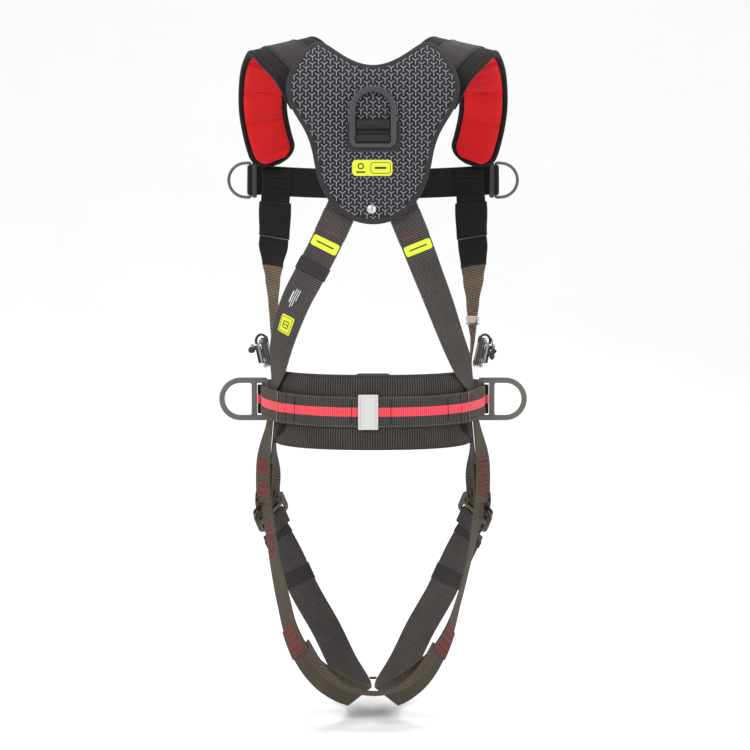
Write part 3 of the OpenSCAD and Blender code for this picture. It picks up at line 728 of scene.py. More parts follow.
def back_pad():
    """Both faces of the pad, each a crowned shell that meets the other at the edge, and the binding."""
    rings = 56
    n = len(PAD_EDGE)
    for name, side, mat, nodes in (("back_pad_shell", 1, PAD, ("back_pad_cover", "back_pad_foam")),
            ("back_pad_inside", -1, LINING, ("back_pad_lining",))):
        verts = [pad_face(*PAD_MID, side, 0.0)]
        for k in range(1, rings + 1):
            f = 1 - (1 - k / rings) ** 1.15
            verts += [pad_face(*PAD_MID.lerp(p, f), side, f) for p in PAD_EDGE]
        faces = [(0, 1 + (j + 1) % n, 1 + j) for j in range(n)]
        for k in range(1, rings * n - n, n):
            for j in range(n):
                m = (j + 1) % n
                faces.append((k + j, k + m, k + n + m, k + n + j))
        if side < 0:
            faces = [f[::-1] for f in faces]
        ob = add_mesh(name, verts, faces, mat, replaces=nodes, slot="pad_fabric" if side > 0
            else "pad_mesh", sharp=0)
    frames = []
    for k in range(n):
        t = (PAD_EDGE[(k + 1) % n] - PAD_EDGE[k - 1]).normalized()
        p = PAD_EDGE[k]
        b = back_normal(p.x, p.y)
        out = back_point(p.x + t.y, p.y - t.x, 0) - back_point(p.x, p.y, 0)
        out = (out - b * out.dot(b)).normalized()
        pull = 0.35 * bumps(k * 0.35, 1.0, 0)
        frames.append((back_point(p.x, p.y, PAD_T / 2) + out * pull * 0.4, out, b))
    sweep("back_pad_edge", frames, oval(BIND_W / 2 + 0.4, 4.4, 18, 3.2), BINDING, closed=True,
        replaces=("back_pad_binding",), slot="binding", sharp=0)
    # seam of the binding, on both faces
    lines = [[p - a * (BIND_W / 2 - 0.9) + b * face * 3.6 for p, a, b in frames] for face in (1, -1)]
    loose_stitches("back_pad_seam", lines, frames, DARK_THREAD)


def loose_stitches(name, lines, frames, mat, pitch=3.4, r=0.36, **kw):
    """Stitches along closed lines of points, raised along the frames' own up direction."""
    verts, faces = [], []
    for side, line in zip((1, -1), lines):
        n = len(line)
        d = [0.0]
        for k in range(n):
            d.append(d[-1] + (line[(k + 1) % n] - line[k]).length)
        count = round(d[-1] / pitch)

        def at(s):
            i = min(bisect_right(d, s) - 1, n - 1)
            t = (s - d[i]) / max(d[i + 1] - d[i], 1e-9)
            return line[i].lerp(line[(i + 1) % n], t), frames[i][2] * side
        for c in range(count):
            (p, up), (q, _) = [at(d[-1] * (c + e) / count) for e in (0.14, 0.86)]
            across = (q - p).normalized().cross(up).normalized()
            add_stitch(verts, faces, p, q, across, up, r, 0.6, 0.5, 1.0)
    return add_mesh(name, verts, faces, mat, sharp=0, **kw)


def pad_marks():
    """Small upright three-armed marks printed on the pad, in staggered columns."""
    dx, dz = 8.65, 10.3
    stem, arm, half, high = 6.0, 5.4, 0.6, 0.22
    verts, faces = [], []

    def bar(a, b, x, z):
        t = (b - a).normalized()
        w = Vector((-t.y, t.x)) * half
        corners = [a - w, b - w, b + w, a + w]
        base = len(verts)
        for q in corners:
            p = pad_face(x + q.x, z + q.y, 1)
            nn = back_normal(x + q.x, z + q.y)
            verts.append(p + nn * high)
            verts.append(p - nn * 0.15)
        faces.append((base, base + 2, base + 4, base + 6))
        for k in range(4):
            m = (k + 1) % 4
            faces.append((base + 2 * k, base + 2 * k + 1, base + 2 * m + 1, base + 2 * m))
    for i in range(-15, 16):
        for j in range(-14, 16):
            x, z = i * dx, j * dz + (dz / 2 if i % 2 else 0)
            if pad_reach(x, z) > 0.985:
                continue
            for angle, size in ((-90, stem), (33, arm), (147, arm)):
                a = radians(angle)
                bar(Vector((0, 0)), Vector((cos(a), sin(a))) * size, x, z)
    add_mesh("back_pad_marks", verts, faces, PRINT, sharp=30)


# ---- dorsal ring, bands and labels
RING_W, RING_H, STOCK, RING_CORNER = 68.0, 88.0, 9.0, 12.0
PIVOT_Y = -PAD_T - 0.8 - 0.9 - 3 - 0.05 - 1.2
PIVOT_Z = -9.0


def dorsal():
    """The ring, its bands, the plate behind them, the label and the press stud."""
    r, foot = RING_W / 2, PIVOT_Z - 3
    top, c = foot + RING_H, RING_CORNER
    outer = circle_arc(0, top - r, r, 0, 180, 48) + circle_arc(c - r, foot + c, c, 180, 270, 10)
    outer += circle_arc(r - c, foot + c, c, 270, 360, 10)
    ri, sill = r - STOCK, foot + 6.4
    inner = circle_arc(0, top - r, ri, 0, 180, 48) + circle_arc(3 - ri, sill + 3, 3, 180, 270, 5)
    inner += circle_arc(ri - 3, sill + 3, 3, 270, 360, 5)
    plate("dorsal_ring_forged", [outer, inner], 6.0, 2.0, stand(0, PIVOT_Y, 0), STEEL,
        body="dorsal_d_ring_body", replaces=("dorsal_d_ring",), slot="dark_steel", sharp=60)
    plate("dorsal_keeper_plate", [rounded(77, 46, 11)], 1.2, 0.5, stand(1, -PAD_T - 0.5, 5), PLASTIC,
        replaces=("dorsal_backing_plate",), slot="black_plastic")
    # two rolled bands lie between the ring's sides, the lower one on its bar
    half = RING_W / 2 - STOCK - 0.5
    for name, z, y, high, deep, seed in (("dorsal_band_lower", 1.4, PIVOT_Y + 1.2, 7.0, 6.0, 2.0),
            ("dorsal_band_upper", 20.8, PIVOT_Y + 1.6, 7.9, 5.6, 7.0)):
        verts, uvs = [], []
        n, m = 60, 48
        for k in range(n + 1):
            x = -half + 2 * half * k / n
            end = dome(max(0.0, (abs(x) - half + 1.5) / 1.6))
            for j in range(m):
                a = TAU * j / m
                ca, sa = cos(a), sin(a)
                g = (abs(ca) ** 2.1 + abs(sa) ** 2.1) ** (-1 / 2.1) * (0.72 + 0.28 * end)
                g += 0.05 * bumps(x * 0.035 + seed, a * 2.3, seed) + 0.012 * cos(a * 24)
                verts.append((x, y - deep * g * ca, z + high * g * sa + 0.5 * bumps(x * 0.05, seed, 0)))
                uvs.append((x, a * (high + deep) / 2))
        add_mesh(name, verts, rings_to_faces(n + 1, m), BANDS, uvs=uvs, sharp=0, slot="black_webbing",
            replaces=("dorsal_loops",) if z < 10 else ())
    # label with a plain frame and a bar, and the press stud
    y = back_point(-1, -41, PAD_T).y
    plate("back_label_patch", [rounded(58, 23, 6, -1, -41)], 0.9, 0.35, stand(0, y - 0.5, 0), YELLOW,
        replaces=("back_label",), slot="yellow_label")
    for name, loops in (("frame", [rounded(29, 16.5, 4, 11, -41), rounded(27.4, 14.9, 3.4, 11, -41)]),
            ("block", [rounded(13, 2.2, 0.9, -17.5, -47)]), ("sign",
            [rounded(9, 9, 4.4, -17.5, -38.5), rounded(5.6, 5.6, 2.7, -17.5, -38.5)]),
            ("mark", [rounded(17, 3, 1.4, 11, -41)])):
        plate(f"back_label_{name}", loops, 0.3, 0.1, stand(0, y - 1.05, 0), INK)
    stud = Matrix.Translation((-2, back_point(-2, -100, PAD_T).y - 0.2, -100)) @ Matrix.Rotation(pi / 2, 4,
        "X")
    lathe("pad_stud_cap", [(6.4, -0.6), (6.6, 0.3), (6.3, 0.9), (5.7, 1.2), (5.5, 1.1), (5.0, 1.5),
        (3.6, 2.2), (1.8, 2.5), (0.2, 2.6)], stud, BRIGHT, replaces=("pad_stud",), slot="bright_metal")


# ---- shoulders
SHOULDER = [[80, 22, 68, .86, .08, -.5, 1.28], [100, 42, 106, .83, -.25, -.5, 1.33],
    [121, 70, 128, .84, -.3, -.42, 1.33], [137, 101, 137, .92, -.27, -.24, 1.28],
    [150, 130, 127, .97, -.2, -.12, 1.13], [163, 160, 97, 1, -.12, 0, 1.03],
    [167, 188, 52, .99, -.15, .05, 1], [160, 204, 8, .97, -.2, .1, 1], [148, 213, -30, .93, -.25, .2, 1]]
SHOULDER_W = 69.0
PAD_OUT, PAD_IN, LINING_IN = -5.0, 3.0, 6.4


def shoulder():
    """A shoulder pad: black shell, red pillowed lining, binding and the load strap on top."""
    run = Run(SHOULDER)
    n = 150
    half = SHOULDER_W / 2

    def width(d):
        """Half-width along the pad: its lower end is rounded."""
        end = (run.length - d) / 26
        return half * run.wide(d) * sqrt(max(0.02, 1 - (1 - min(end, 1.0)) ** 2.6))

    def shell(name, lo, hi, w_of, mat, crown, nodes, slot, quilt=0.0, d0=0.0, d1=None):
        d1 = run.length if d1 is None else d1
        across = [-1 + 2 * j / 22 for j in range(23)]
        verts, uvs = [], []
        mid, th = (lo + hi) / 2, (hi - lo) / 2
        for k in range(n + 1):
            d = d0 + (d1 - d0) * k / n
            p, u, nn, _ = run.at(d)
            w = w_of(d)
            for face in (1, -1):
                for a in (across if face > 0 else across[::-1]):
                    e = 0.25 + 0.75 * dome(a, 6)
                    h = mid + face * th * e + face * crown * (1 - a * a)
                    if quilt and face > 0:
                        crease = bumps(d * 0.11, a * 0.8, 5.0)
                        h += quilt * (0.7 * crease + 0.25 * sin(d * 0.42 + 1.4 * crease + a)) * e
                        for place, deep in ((0.34, 0.8), (0.5, 1.0), (0.66, 1.5), (0.8, 1.1)):
                            fold = (d - run.length * place - 4 * a * a - 2 * crease) / 2.6
                            h -= 1.3 * quilt * deep * exp(-fold * fold)
                        low = min(1.0, max(0.0, (d / run.length - 0.3) / 0.3))
                        pillow = abs(sin(pi * (d / run.length - 0.66) / 0.15 + 0.35 * a * a + 0.3 * crease))
                        h += 2.8 * quilt * low * pillow ** 0.6 * e
                    verts.append(p + u * a * w + nn * h)
                    uvs.append((a * w, d))
        ob = add_mesh(name, verts, rings_to_faces(n + 1, 2 * len(across)), mat, uvs=uvs, replaces=nodes,
            slot=slot, sharp=70)
        return ob
    shell("shoulder_shell_*", PAD_OUT, PAD_IN, width, SHELL, 0.8, ("shoulder_pad_*",), "shoulder_fabric")
    shell("shoulder_red_*", PAD_IN - 1.0, LINING_IN - 1.0, lambda d: width(d) - 5.6, RED, 0.8,
        ("shoulder_lining_*",), "red_lining", quilt=1.5, d0=run.at_s(0.9), d1=run.length - 5)
    # binding round the edge: down one side, round the end and up the other
    steps = 130
    path = [(run.length * k / steps * 0.999, 1) for k in range(steps + 1)]
    path += [(d, -1) for d, _ in reversed(path)]
    frames, pts = [], []
    for d, s in path:
        p, u, nn, _ = run.at(d)
        pts.append((p + u * s * (width(d) - 1.2) + nn * (PAD_OUT + LINING_IN) * 0.36, nn))
    for k, (p, nn) in enumerate(pts):
        t = pts[min(k + 1, len(pts) - 1)][0] - pts[max(k - 1, 0)][0]
        t = t.normalized() if t.length > 1e-6 else Vector((1, 0, 0))
        frames.append((p, nn.cross(t).normalized(), nn))
    sweep("shoulder_edge_*", frames, oval(3.4, 5.1, 14, 3.0), SHELL, slot="binding", sharp=0)
    ribbon("shoulder_load_strap_*", run, WEB_W, PAD_OUT - 2.4, PAD_OUT - 0.2, SMOOTH, run.at_s(0.6),
        run.length - 6, rib=0.2, wob=0.5, replaces=("shoulder_webbing_*",), slot="charcoal_webbing")
    spots = seam(run.at_s(0.7), 19.5, run.length - 8, 19.5) + seam(run.at_s(0.7), -19.5, run.length - 8,
        -19.5)
    stitches("shoulder_seams_*", run, spots, PAD_OUT - 2.55, DARK_THREAD)


# ---- front straps and chest strap
FRONT = [[148, 221, -40, .95, -.28, .1], [148, 222, -62, .95, -.28, .05], [150, 220, -90, .95, -.28, 0],
    [151, 213, -135, .93, -.35, 0], [153, 200, -166, .93, -.3, .1], [152, 168, -205, .94, -.3, .1],
    [150, 138, -240, .9, -.4, .1], [149, 122, -268, .8, -.6, .1], [149, 114, -294, .4, -.9, .1],
    [146, 112, -332, .05, -1, .05], [147, 112, -392, .05, -1, 0]]
CHEST_Z, CHEST_OUT, CHEST_Y, CHEST_BOW, CHEST_LIFT = -62.0, 172.0, 222.0, 22.0, 6.0
CHEST_RING_H, CHEST_WIRE, CHEST_REACH, CHEST_BAR_X = 57.0, 4.8, 38.0, 188.0


def front():
    """A front strap with its sleeve and keeper."""
    left = SIDE == "left"
    run = Run(FRONT)
    marks = [run.at_s(k) for k in (3.6, 4.5, 5, 6, 7, 8)]
    share = (1, 0.7, 0.52, 0.36, 0.3, 0.26) if left else (1, 0.86, 0.72, 0.46, 0.36, 0.3)

    def drawn(d):
        """The strap is gathered lengthwise on its way to the adjuster."""
        for k in range(1, len(marks)):
            if d < marks[k]:
                f = ease((d - marks[k - 1]) / (marks[k] - marks[k - 1]))
                return share[k - 1] + (share[k] - share[k - 1]) * f
        return share[-1]
    ribbon("front_web_*", run, WEB_W, -HALF_T, HALF_T, FRONT_WEB, run.at_s(3.1), rib=0.5, wob=0.4,
        narrow=drawn, replaces=("front_strap_*",), slot="charcoal_webbing")
    ribbon("front_web_top_*", run, WEB_W, -HALF_T, HALF_T, BLACK, 0, run.at_s(3.1), rib=0.2, wob=0.4)
    a, b = run.at_s(2), run.at_s(3.25)
    ribbon("front_tube_*", run, WEB_W + 4.4, -HALF_T - 2.3, HALF_T + 2.3, ELASTIC, a, b, wob=1.2, step=1.6,
        cols=12, replaces=("front_sleeve_*",), slot="black_webbing", seed=2,
        narrow=lambda d: 1.0 + 0.02 * sin((d - a) * 0.1))
    c, e = run.at_s(3.28), run.at_s(4.55)
    ribbon("front_band_*", run, WEB_W + 1.4, -HALF_T - 1.0, HALF_T + 1.0, BLACK, c, e, rib=0.2, pitch=2.6,
        wob=0.6, seed=7, narrow=drawn)
    spots = tack_block(run.at_s(0.35), run.at_s(1.55), -17, 17, 5)
    on_both_faces(("front_tacks_*", "front_tacks_out_*"), run, spots, HALF_T + 0.3, DARK_THREAD)
    spots = seam(a + 3, -21, b - 3, -21) + seam(a + 3, 21, b - 3, 21)
    spots += seam(a + 2, -20, a + 2, 20) + seam(b - 2, -20, b - 2, 20)
    stitches("front_tube_seams_*", run, spots, HALF_T + 2.45, DARK_THREAD)


def slider():
    """The bright slider on the right front strap."""
    strap = Run(FRONT)
    mid = strap.at_s(6.95)
    run = Run([list(strap.point(mid + k)) + [1, -0.1, 0] for k in (-14, -7, 0, 7, 14)])
    a, b = run.length / 2 - 6.5, run.length / 2 + 6.5
    body = "strap_slider_body"
    ribbon("slider_body", run, 20, -HALF_T - 3.4, HALF_T + 3.4, BRIGHT, a, b, step=0.8, edge=0.55,
        body=body, replaces=("strap_slider",), slot="bright_metal", cap=2.5)
    for k, d in enumerate((a + 1.6, (a + b) / 2, b - 1.6)):
        line = [run.point(d, x, -HALF_T - 3.6) for x in (-8.5, -4, 0, 4, 8.5)]
        tube(f"slider_bar_{k}", line, 1.1, BRIGHT, body=body)
    # dark rods where the slider's slots are: painted shade of the openings
    for k in range(2):
        line = [run.point(a + c, 4 + 3.2 * k, -HALF_T - 3.6) for c in (2.5, 5, 8, 10.5)]
        tube(f"slider_slot_{k}", line, 0.9, DARK_METAL, body=body)


def chest_height(x):
    """The strap climbs a little towards its ends."""
    return CHEST_Z + CHEST_LIFT * (x / CHEST_OUT) ** 2


def chest_depth(x):
    """The strap bows out over the chest."""
    return CHEST_Y + CHEST_BOW * (1 - (x / CHEST_OUT) ** 2)


def chest_half():
    """One half of the chest strap, with its ring and the bar beside it."""
    left = SIDE == "left"
    x0 = 24.0 if left else 44.0
    route = [[x, chest_depth(x), chest_height(x), 0, 0, 1] for x in [x0 + (168 - x0) * k / 7
        for k in range(8)]]
    ring_z = CHEST_Z + CHEST_LIFT
    route += [[x, y, ring_z, 0, 0, 1] for x, y in ((176, 219.6), (183, 217.5), (188.5, 217.2), (191.8, 221),
        (188.5, 224.8), (182, 225.4), (172, 227), (160, 229.6))]
    run = Run(route)
    ribbon("chest_web_*", run, WEB_W, -HALF_T, HALF_T, BLACK, rib=0.2, pitch=2.6, wob=0.4,
        replaces=("chest_strap_*",), slot="black_webbing")
    spots = []
    for x in (161, 164, 171):
        d = run.at_s(7 * (x - x0) / (168 - x0))
        spots += zigzag(d, -18, d, 18, 1.6, 1.3)
    on_both_faces(("chest_tacks_*", "chest_tacks_in_*"), run, spots, -HALF_T - 0.2, DARK_THREAD)
    # ring of round wire in the strap's loop
    bend = (CHEST_RING_H - CHEST_WIRE) / 2
    cx = CHEST_BAR_X + CHEST_REACH - bend - CHEST_WIRE
    pts = [(CHEST_BAR_X, CHEST_Y - 1, ring_z - bend + 3), (CHEST_BAR_X, CHEST_Y - 1, ring_z),
        (CHEST_BAR_X, CHEST_Y - 1, ring_z + bend - 3), (CHEST_BAR_X + 3, CHEST_Y - 1, ring_z + bend)]
    pts += [(cx + bend * sin(a), CHEST_Y - 1, ring_z + bend * cos(a))
        for a in [pi * k / 10 for k in range(11)]]
    pts += [(CHEST_BAR_X + 3, CHEST_Y - 1, ring_z - bend)]
    tube("chest_ring_wire_*", smooth_line(pts, 6, True), CHEST_WIRE / 2, BRONZE, closed=True, n=14,
        body="chest_d_ring_*_body", replaces=("chest_d_ring_*",), slot="bronze_steel", sharp=0)
    # flat bar that keeps the loop spread beside the ring
    bar = Matrix.Translation((181.5, CHEST_Y - 7.4, ring_z)) @ Matrix.Rotation(radians(9), 4, "Z")
    plate("chest_keeper_*", [rounded(7.5, 54, 2.4)], 2.4, 0.8, bar @ stand(0, 0, 0), PLASTIC)


def chest_buckle():
    """The buckle's CAD parts get their materials."""
    dress("chest_buckle_housing", PLASTIC, 1.2)
    dress("chest_buckle_tongue", STEEL, 0.6)
    dress("chest_button_top", RED_PLASTIC, 0.8)
    dress("chest_button_bottom", RED_PLASTIC, 0.8)


# ---- torso adjusters
ADJ, LEAN = Vector((154, 104, -311)), radians(12)
ADJ_M = Matrix.Translation(ADJ) @ Matrix.Rotation(LEAN, 4, "Y")


def adjuster():
    """A torso adjuster: the CAD plates, with leaves, rivets and a pull cord added."""
    left = SIDE == "left"
    dress("adjuster_frame_*", DARK_METAL, 0.45)
    dress("adjuster_spool_*", STEEL, 0.4)
    dress("adjuster_lever_*", DARK_METAL, 0.5)
    # thin leaves stacked against the rear cheek, and rivet heads
    for k, (x, h, mat) in enumerate(((1.6, 42, PLASTIC), (4.8, 39, DARK_METAL), (8.0, 34, PLASTIC),
            (11.0, 27, DARK_METAL))):
        m = ADJ_M @ Matrix.Translation((x, -27.4, 1 - k * 0.8)) @ stand(0, 0, 0)
        plate(f"adjuster_leaf_*_{k}", [rounded(2.2, h, 1.0)], 2.4, 0.7, m, mat)
    for k, (x, z) in enumerate(((9.5, 10), (9, -11))):
        m = ADJ_M @ Matrix.Translation((x, -26.2, z)) @ Matrix.Rotation(pi / 2, 4, "X")
        lathe(f"adjuster_rivet_*_{k}", [(3.4, -0.4), (3.4, 0.8), (3.0, 1.5), (1.8, 1.9), (0.2, 2.0)], m,
            BRIGHT, n=24)
    # pull cord: a flat tape arched over the top, then a tab on the right side or a knob on the left
    loop = [(0, -24, 14), (0, -24, 21), (4, -24, 26.5), (10, -24, 27), (15, -23.5, 22), (16, -22, 15)]
    tube("adjuster_loop_*", smooth_line([ADJ_M @ Vector(p) for p in loop], 8), 1.3, PLASTIC, n=10, flat=1.8)
    if left:
        tail, r = [(9, -24.5, 12), (14, -24.5, 9), (19, -24, 8), (23, -24, 8)], 1.6
    else:
        tail, r = [(11, -24.5, 26), (17, -24.5, 23), (20, -24, 15), (21, -24, 8)], 0.9
    tube("adjuster_tail_*", smooth_line([ADJ_M @ Vector(p) for p in tail], 8), r, PLASTIC, n=10)
    if left:
        m = ADJ_M @ Matrix.Translation((25, -24, 8)) @ Matrix.Rotation(radians(75), 4, "Y")
        lathe("adjuster_knob_left", [(0.3, -4.6), (2.8, -4.2), (4.4, -2.6), (4.8, 0), (4.4, 2.6),
            (3.0, 4.2), (0.3, 4.7)], m, PLASTIC, n=28)
    else:
        m = ADJ_M @ Matrix.Translation((23, -24, 2)) @ Matrix.Rotation(radians(28), 4, "Y") @ stand(0, 0, 0)
        tab = [(-3, 7), (-4, 2), (-8, 0), (-8, -4), (-3, -5), (2, -8), (6, -7), (6, -2), (3, 1), (2.4, 7)]
        plate("adjuster_tab_right", [[(q.x, q.y) for q in smooth_line([(x, y, 0) for x, y in tab], 5,
            True)]], 3.0, 1.0, m, PLASTIC)
    # a bright metal catch at the lower end, which also stands in for a glint there: partly a painted
    # highlight
    m = ADJ_M @ Matrix.Translation((8, -25.6, -19)) @ stand(0, 0, 0)
    plate("adjuster_catch_*", [rounded(10, 6, 2), rounded(5.5, 2.4, 1)], 2.0, 0.5, m, BRIGHT)


# ---- dorsal straps and their labels
DORSAL_RIGHT = [[24, 5, -50, .92, 0, .39], [46, 5, -108, .92, 0, .39], [64, 5, -153, .9, .1, .39],
    [81, 8, -197, .86, .3, .4], [97, 13, -238, .8, .42, .42], [116, 24, -290, .68, .58, .42],
    [134, 38, -335, .45, .63, .64], [146, 61, -366, .25, .66, .71], [153, 92, -391, .06, .62, .78]]
DORSAL_LEFT = [[24, 5, -50, .92, 0, .39], [49, 5, -108, .92, 0, .39], [70, 5, -153, .92, 0, .39],
    [93, 8, -197, .9, .1, .4], [114, 14, -238, .85, .3, .42], [132, 28, -290, .7, .55, .44],
    [141, 44, -335, .45, .65, .62], [147, 64, -366, .25, .66, .71], [153, 92, -391, .06, .62, .78]]
GATHER = [[133, 36, -416, 1, 0, 0], [135, 43, -426, 1, .2, 0], [139, 62, -437, 1, .4, 0],
    [142, 84, -446, 1, .5, 0]]


def outline_on(run, name, d0, d1, w, off, mat, t=0.5, corner=3.0, body="root", x=0.0, **kw):
    """A thin patch with round corners that follows a strap's face."""
    nd, nx = max(6, round((d1 - d0) / 1.2)), 10
    verts, uvs = [], []
    for layer in (0, 1):
        for k in range(nd + 1):
            d = d0 + (d1 - d0) * k / nd
            e = min(d - d0, d1 - d)
            cut = corner_cut(e, corner)
            for j in range(nx + 1):
                a = -1 + 2 * j / nx
                xx = a * (w / 2 - cut)
                rim = 1.0 if abs(a) < 0.99 and 0 < k < nd else 0.4
                verts.append(run.point(d, x + xx, off + (t * rim if layer == 0 else 0.0)))
                uvs.append((xx, d))
    size = (nd + 1) * (nx + 1)
    faces = []
    for k in range(nd):
        for j in range(nx):
            a = k * (nx + 1) + j
            q = (a, a + 1, a + nx + 2, a + nx + 1)
            faces += [q[::-1], tuple(size + i for i in q)]
    ring = list(range(nx + 1)) + [k * (nx + 1) + nx for k in range(1, nd + 1)]
    ring += [nd * (nx + 1) + j for j in range(nx - 1, -1, -1)] + [k * (nx + 1)
        for k in range(nd - 1, 0, -1)]
    for k in range(len(ring)):
        a, b = ring[k], ring[(k + 1) % len(ring)]
        faces.append((a, b, size + b, size + a))
    return add_mesh(name, verts, faces, mat, body=body, uvs=uvs, sharp=60, **kw)


def dorsal_strap():
    """A strap down the back with its lap, keeper and labels."""
    left = SIDE == "left"
    run = Run(DORSAL_LEFT if left else DORSAL_RIGHT)
    taper0, taper1 = run.at_s(5.7), run.at_s(7.3)

    def gathered(d):
        """The strap is drawn together where it reaches the belt."""
        return 1.0 - 0.6 * ease((d - taper0) / (taper1 - taper0))
    ribbon("dorsal_web_*", run, WEB_W, -HALF_T, HALF_T, CHARCOAL, rib=0.4, wob=0.3, narrow=gathered,
        replaces=("dorsal_strap_*",), slot="charcoal_webbing")
    fold = Run(GATHER)
    ribbon("hip_gather_*", fold, 12.5, -1.6, 1.6, BLACK, rib=0.3, wob=1.0, bow=0.6, seed=9)
    face = HALF_T
    lap0, lap1 = run.at_s(1.0), run.at_s(1.66 if left else 1.78)
    ribbon("dorsal_lap_*", run, WEB_W + 1.2, face + 0.1, face + 1.8, CHARCOAL, lap0, lap1, rib=0.35,
        wob=0.2)
    red = run.at_s(1.56 if left else 1.67)
    spots = seam(red - 1, -16, red + 1, 16, 2.6, 0.85)
    stitches("dorsal_red_seam_*", run, spots, face + 2.0, RED_THREAD, r=0.5)
    a, b = (run.at_s(1.8), run.at_s(2.13)) if left else (run.at_s(1.9), run.at_s(2.22))
    nodes = ("load_indicators",) if left else ()
    outline_on(run, "load_label_*", a, b, 41, face + 0.5, YELLOW, 0.7, replaces=nodes, slot="yellow_label")
    outline_on(run, "load_label_bar_*", (a + b) / 2 - 1.1, (a + b) / 2 + 1.1, 30, face + 1.05, INK, 0.25,
        1.0)
    if left:
        a, b = run.at_s(2.55), run.at_s(2.95)
        ribbon("dorsal_keeper_left", run, WEB_W + 3, -face - 1.2, face + 1.3, KEEPER, a, b, wob=0.5,
            step=1.2, cap=2.5)
        a, b = run.at_s(3.42), run.at_s(4.2)
        outline_on(run, "id_label_film", a, b, 24, face + 0.3, GLOSS, 0.6, 1.5, x=3, replaces=("id_label",),
            slot="black_label")
        for k, (x, w, f0, f1) in enumerate(((5.5, 1.6, 0.25, 0.72), (2.5, 1.0, 0.12, 0.9),
                (-0.5, 1.0, 0.12, 0.84), (-3.5, 1.0, 0.12, 0.6))):
            outline_on(run, f"id_label_rule_{k}", a + (b - a) * f0, a + (b - a) * f1, w, face + 0.85,
                WHITE_INK, 0.2, 0.4, x=x + 3)
        a, b = run.at_s(4.35), run.at_s(4.82)
        outline_on(run, "pictogram_patch", a, b, 22, face + 0.3, YELLOW, 0.8, 2.5, x=1,
            replaces=("pictogram_label",), slot="yellow_label")
        spots = [(a + 2.6, -8.6), (b - 2.6, -8.6), (b - 2.6, 8.6), (a + 2.6, 8.6)]
        line = []
        for (d0, x0), (d1, x1) in zip(spots, spots[1:] + spots[:1]):
            line += seam(d0, x0 + 1, d1, x1 + 1, 2.2, 0.8)
        stitches("pictogram_border", run, line, face + 1.15, INK, r=0.42)
        mid = (a + b) / 2
        for k, (d0, d1, x, w) in enumerate(((mid - 5.4, mid - 4.0, 1, 9), (mid + 4.0, mid + 5.4, 1, 9),
                (mid - 5.4, mid + 5.4, -3.2, 1.3), (mid - 5.4, mid + 5.4, 5.2, 1.3),
                (mid - 0.7, mid + 0.7, 1, 8))):
            outline_on(run, f"pictogram_line_{k}", d0, d1, w, face + 1.0, INK, 0.3, 0.4, x=x)


# ---- waist belt
WAIST_A, WAIST_B, WAIST_N = 140.0, 112.0, 0.83
WEB_OFF = [[11.8], [14], [18.5], [25.5], [16], [7], [5]]
BELT_DROP, BELT_PAD_H, PAD_TURN = 394.0, 107.0, 75.5
BELT_RIB, BELT_CORNER, FOLD_TURN = 3.35, 9.0, 54.4
STRIPE_W = 13.0
SIDE_X, SIDE_Y = 166.7, 105.0


def waist(a, off):
    """x and y round the waist at a degrees from the back, off outside the body."""
    s, c = sin(radians(a)), cos(radians(a))
    return ((WAIST_A + off) * copysign(abs(s) ** WAIST_N, s), WAIST_B
        - (WAIST_B + off) * copysign(abs(c) ** WAIST_N, c))


def belt_z(y):
    """Height of the belt, lowest at the back."""
    return -(BELT_DROP - 2) + 0.085 * y - 0.0009 * max(0.0, y - 120) ** 2


def belt_station(a):
    """A route point of the belt webbing."""
    x, y = waist(a, catmull(WEB_OFF, abs(a) / 30)[0])
    return [x, y, belt_z(y), 0, 0, 1]


BELT_TURN, BELT_POINTS = 174, 80
BELT_RUN = Run([belt_station(BELT_TURN * (2 * k / BELT_POINTS - 1)) for k in range(BELT_POINTS + 1)], n=700)


def belt_at(a):
    """Length along the belt webbing at a degrees from the back."""
    return BELT_RUN.at_s(BELT_POINTS / 2 * (1 + a / BELT_TURN))


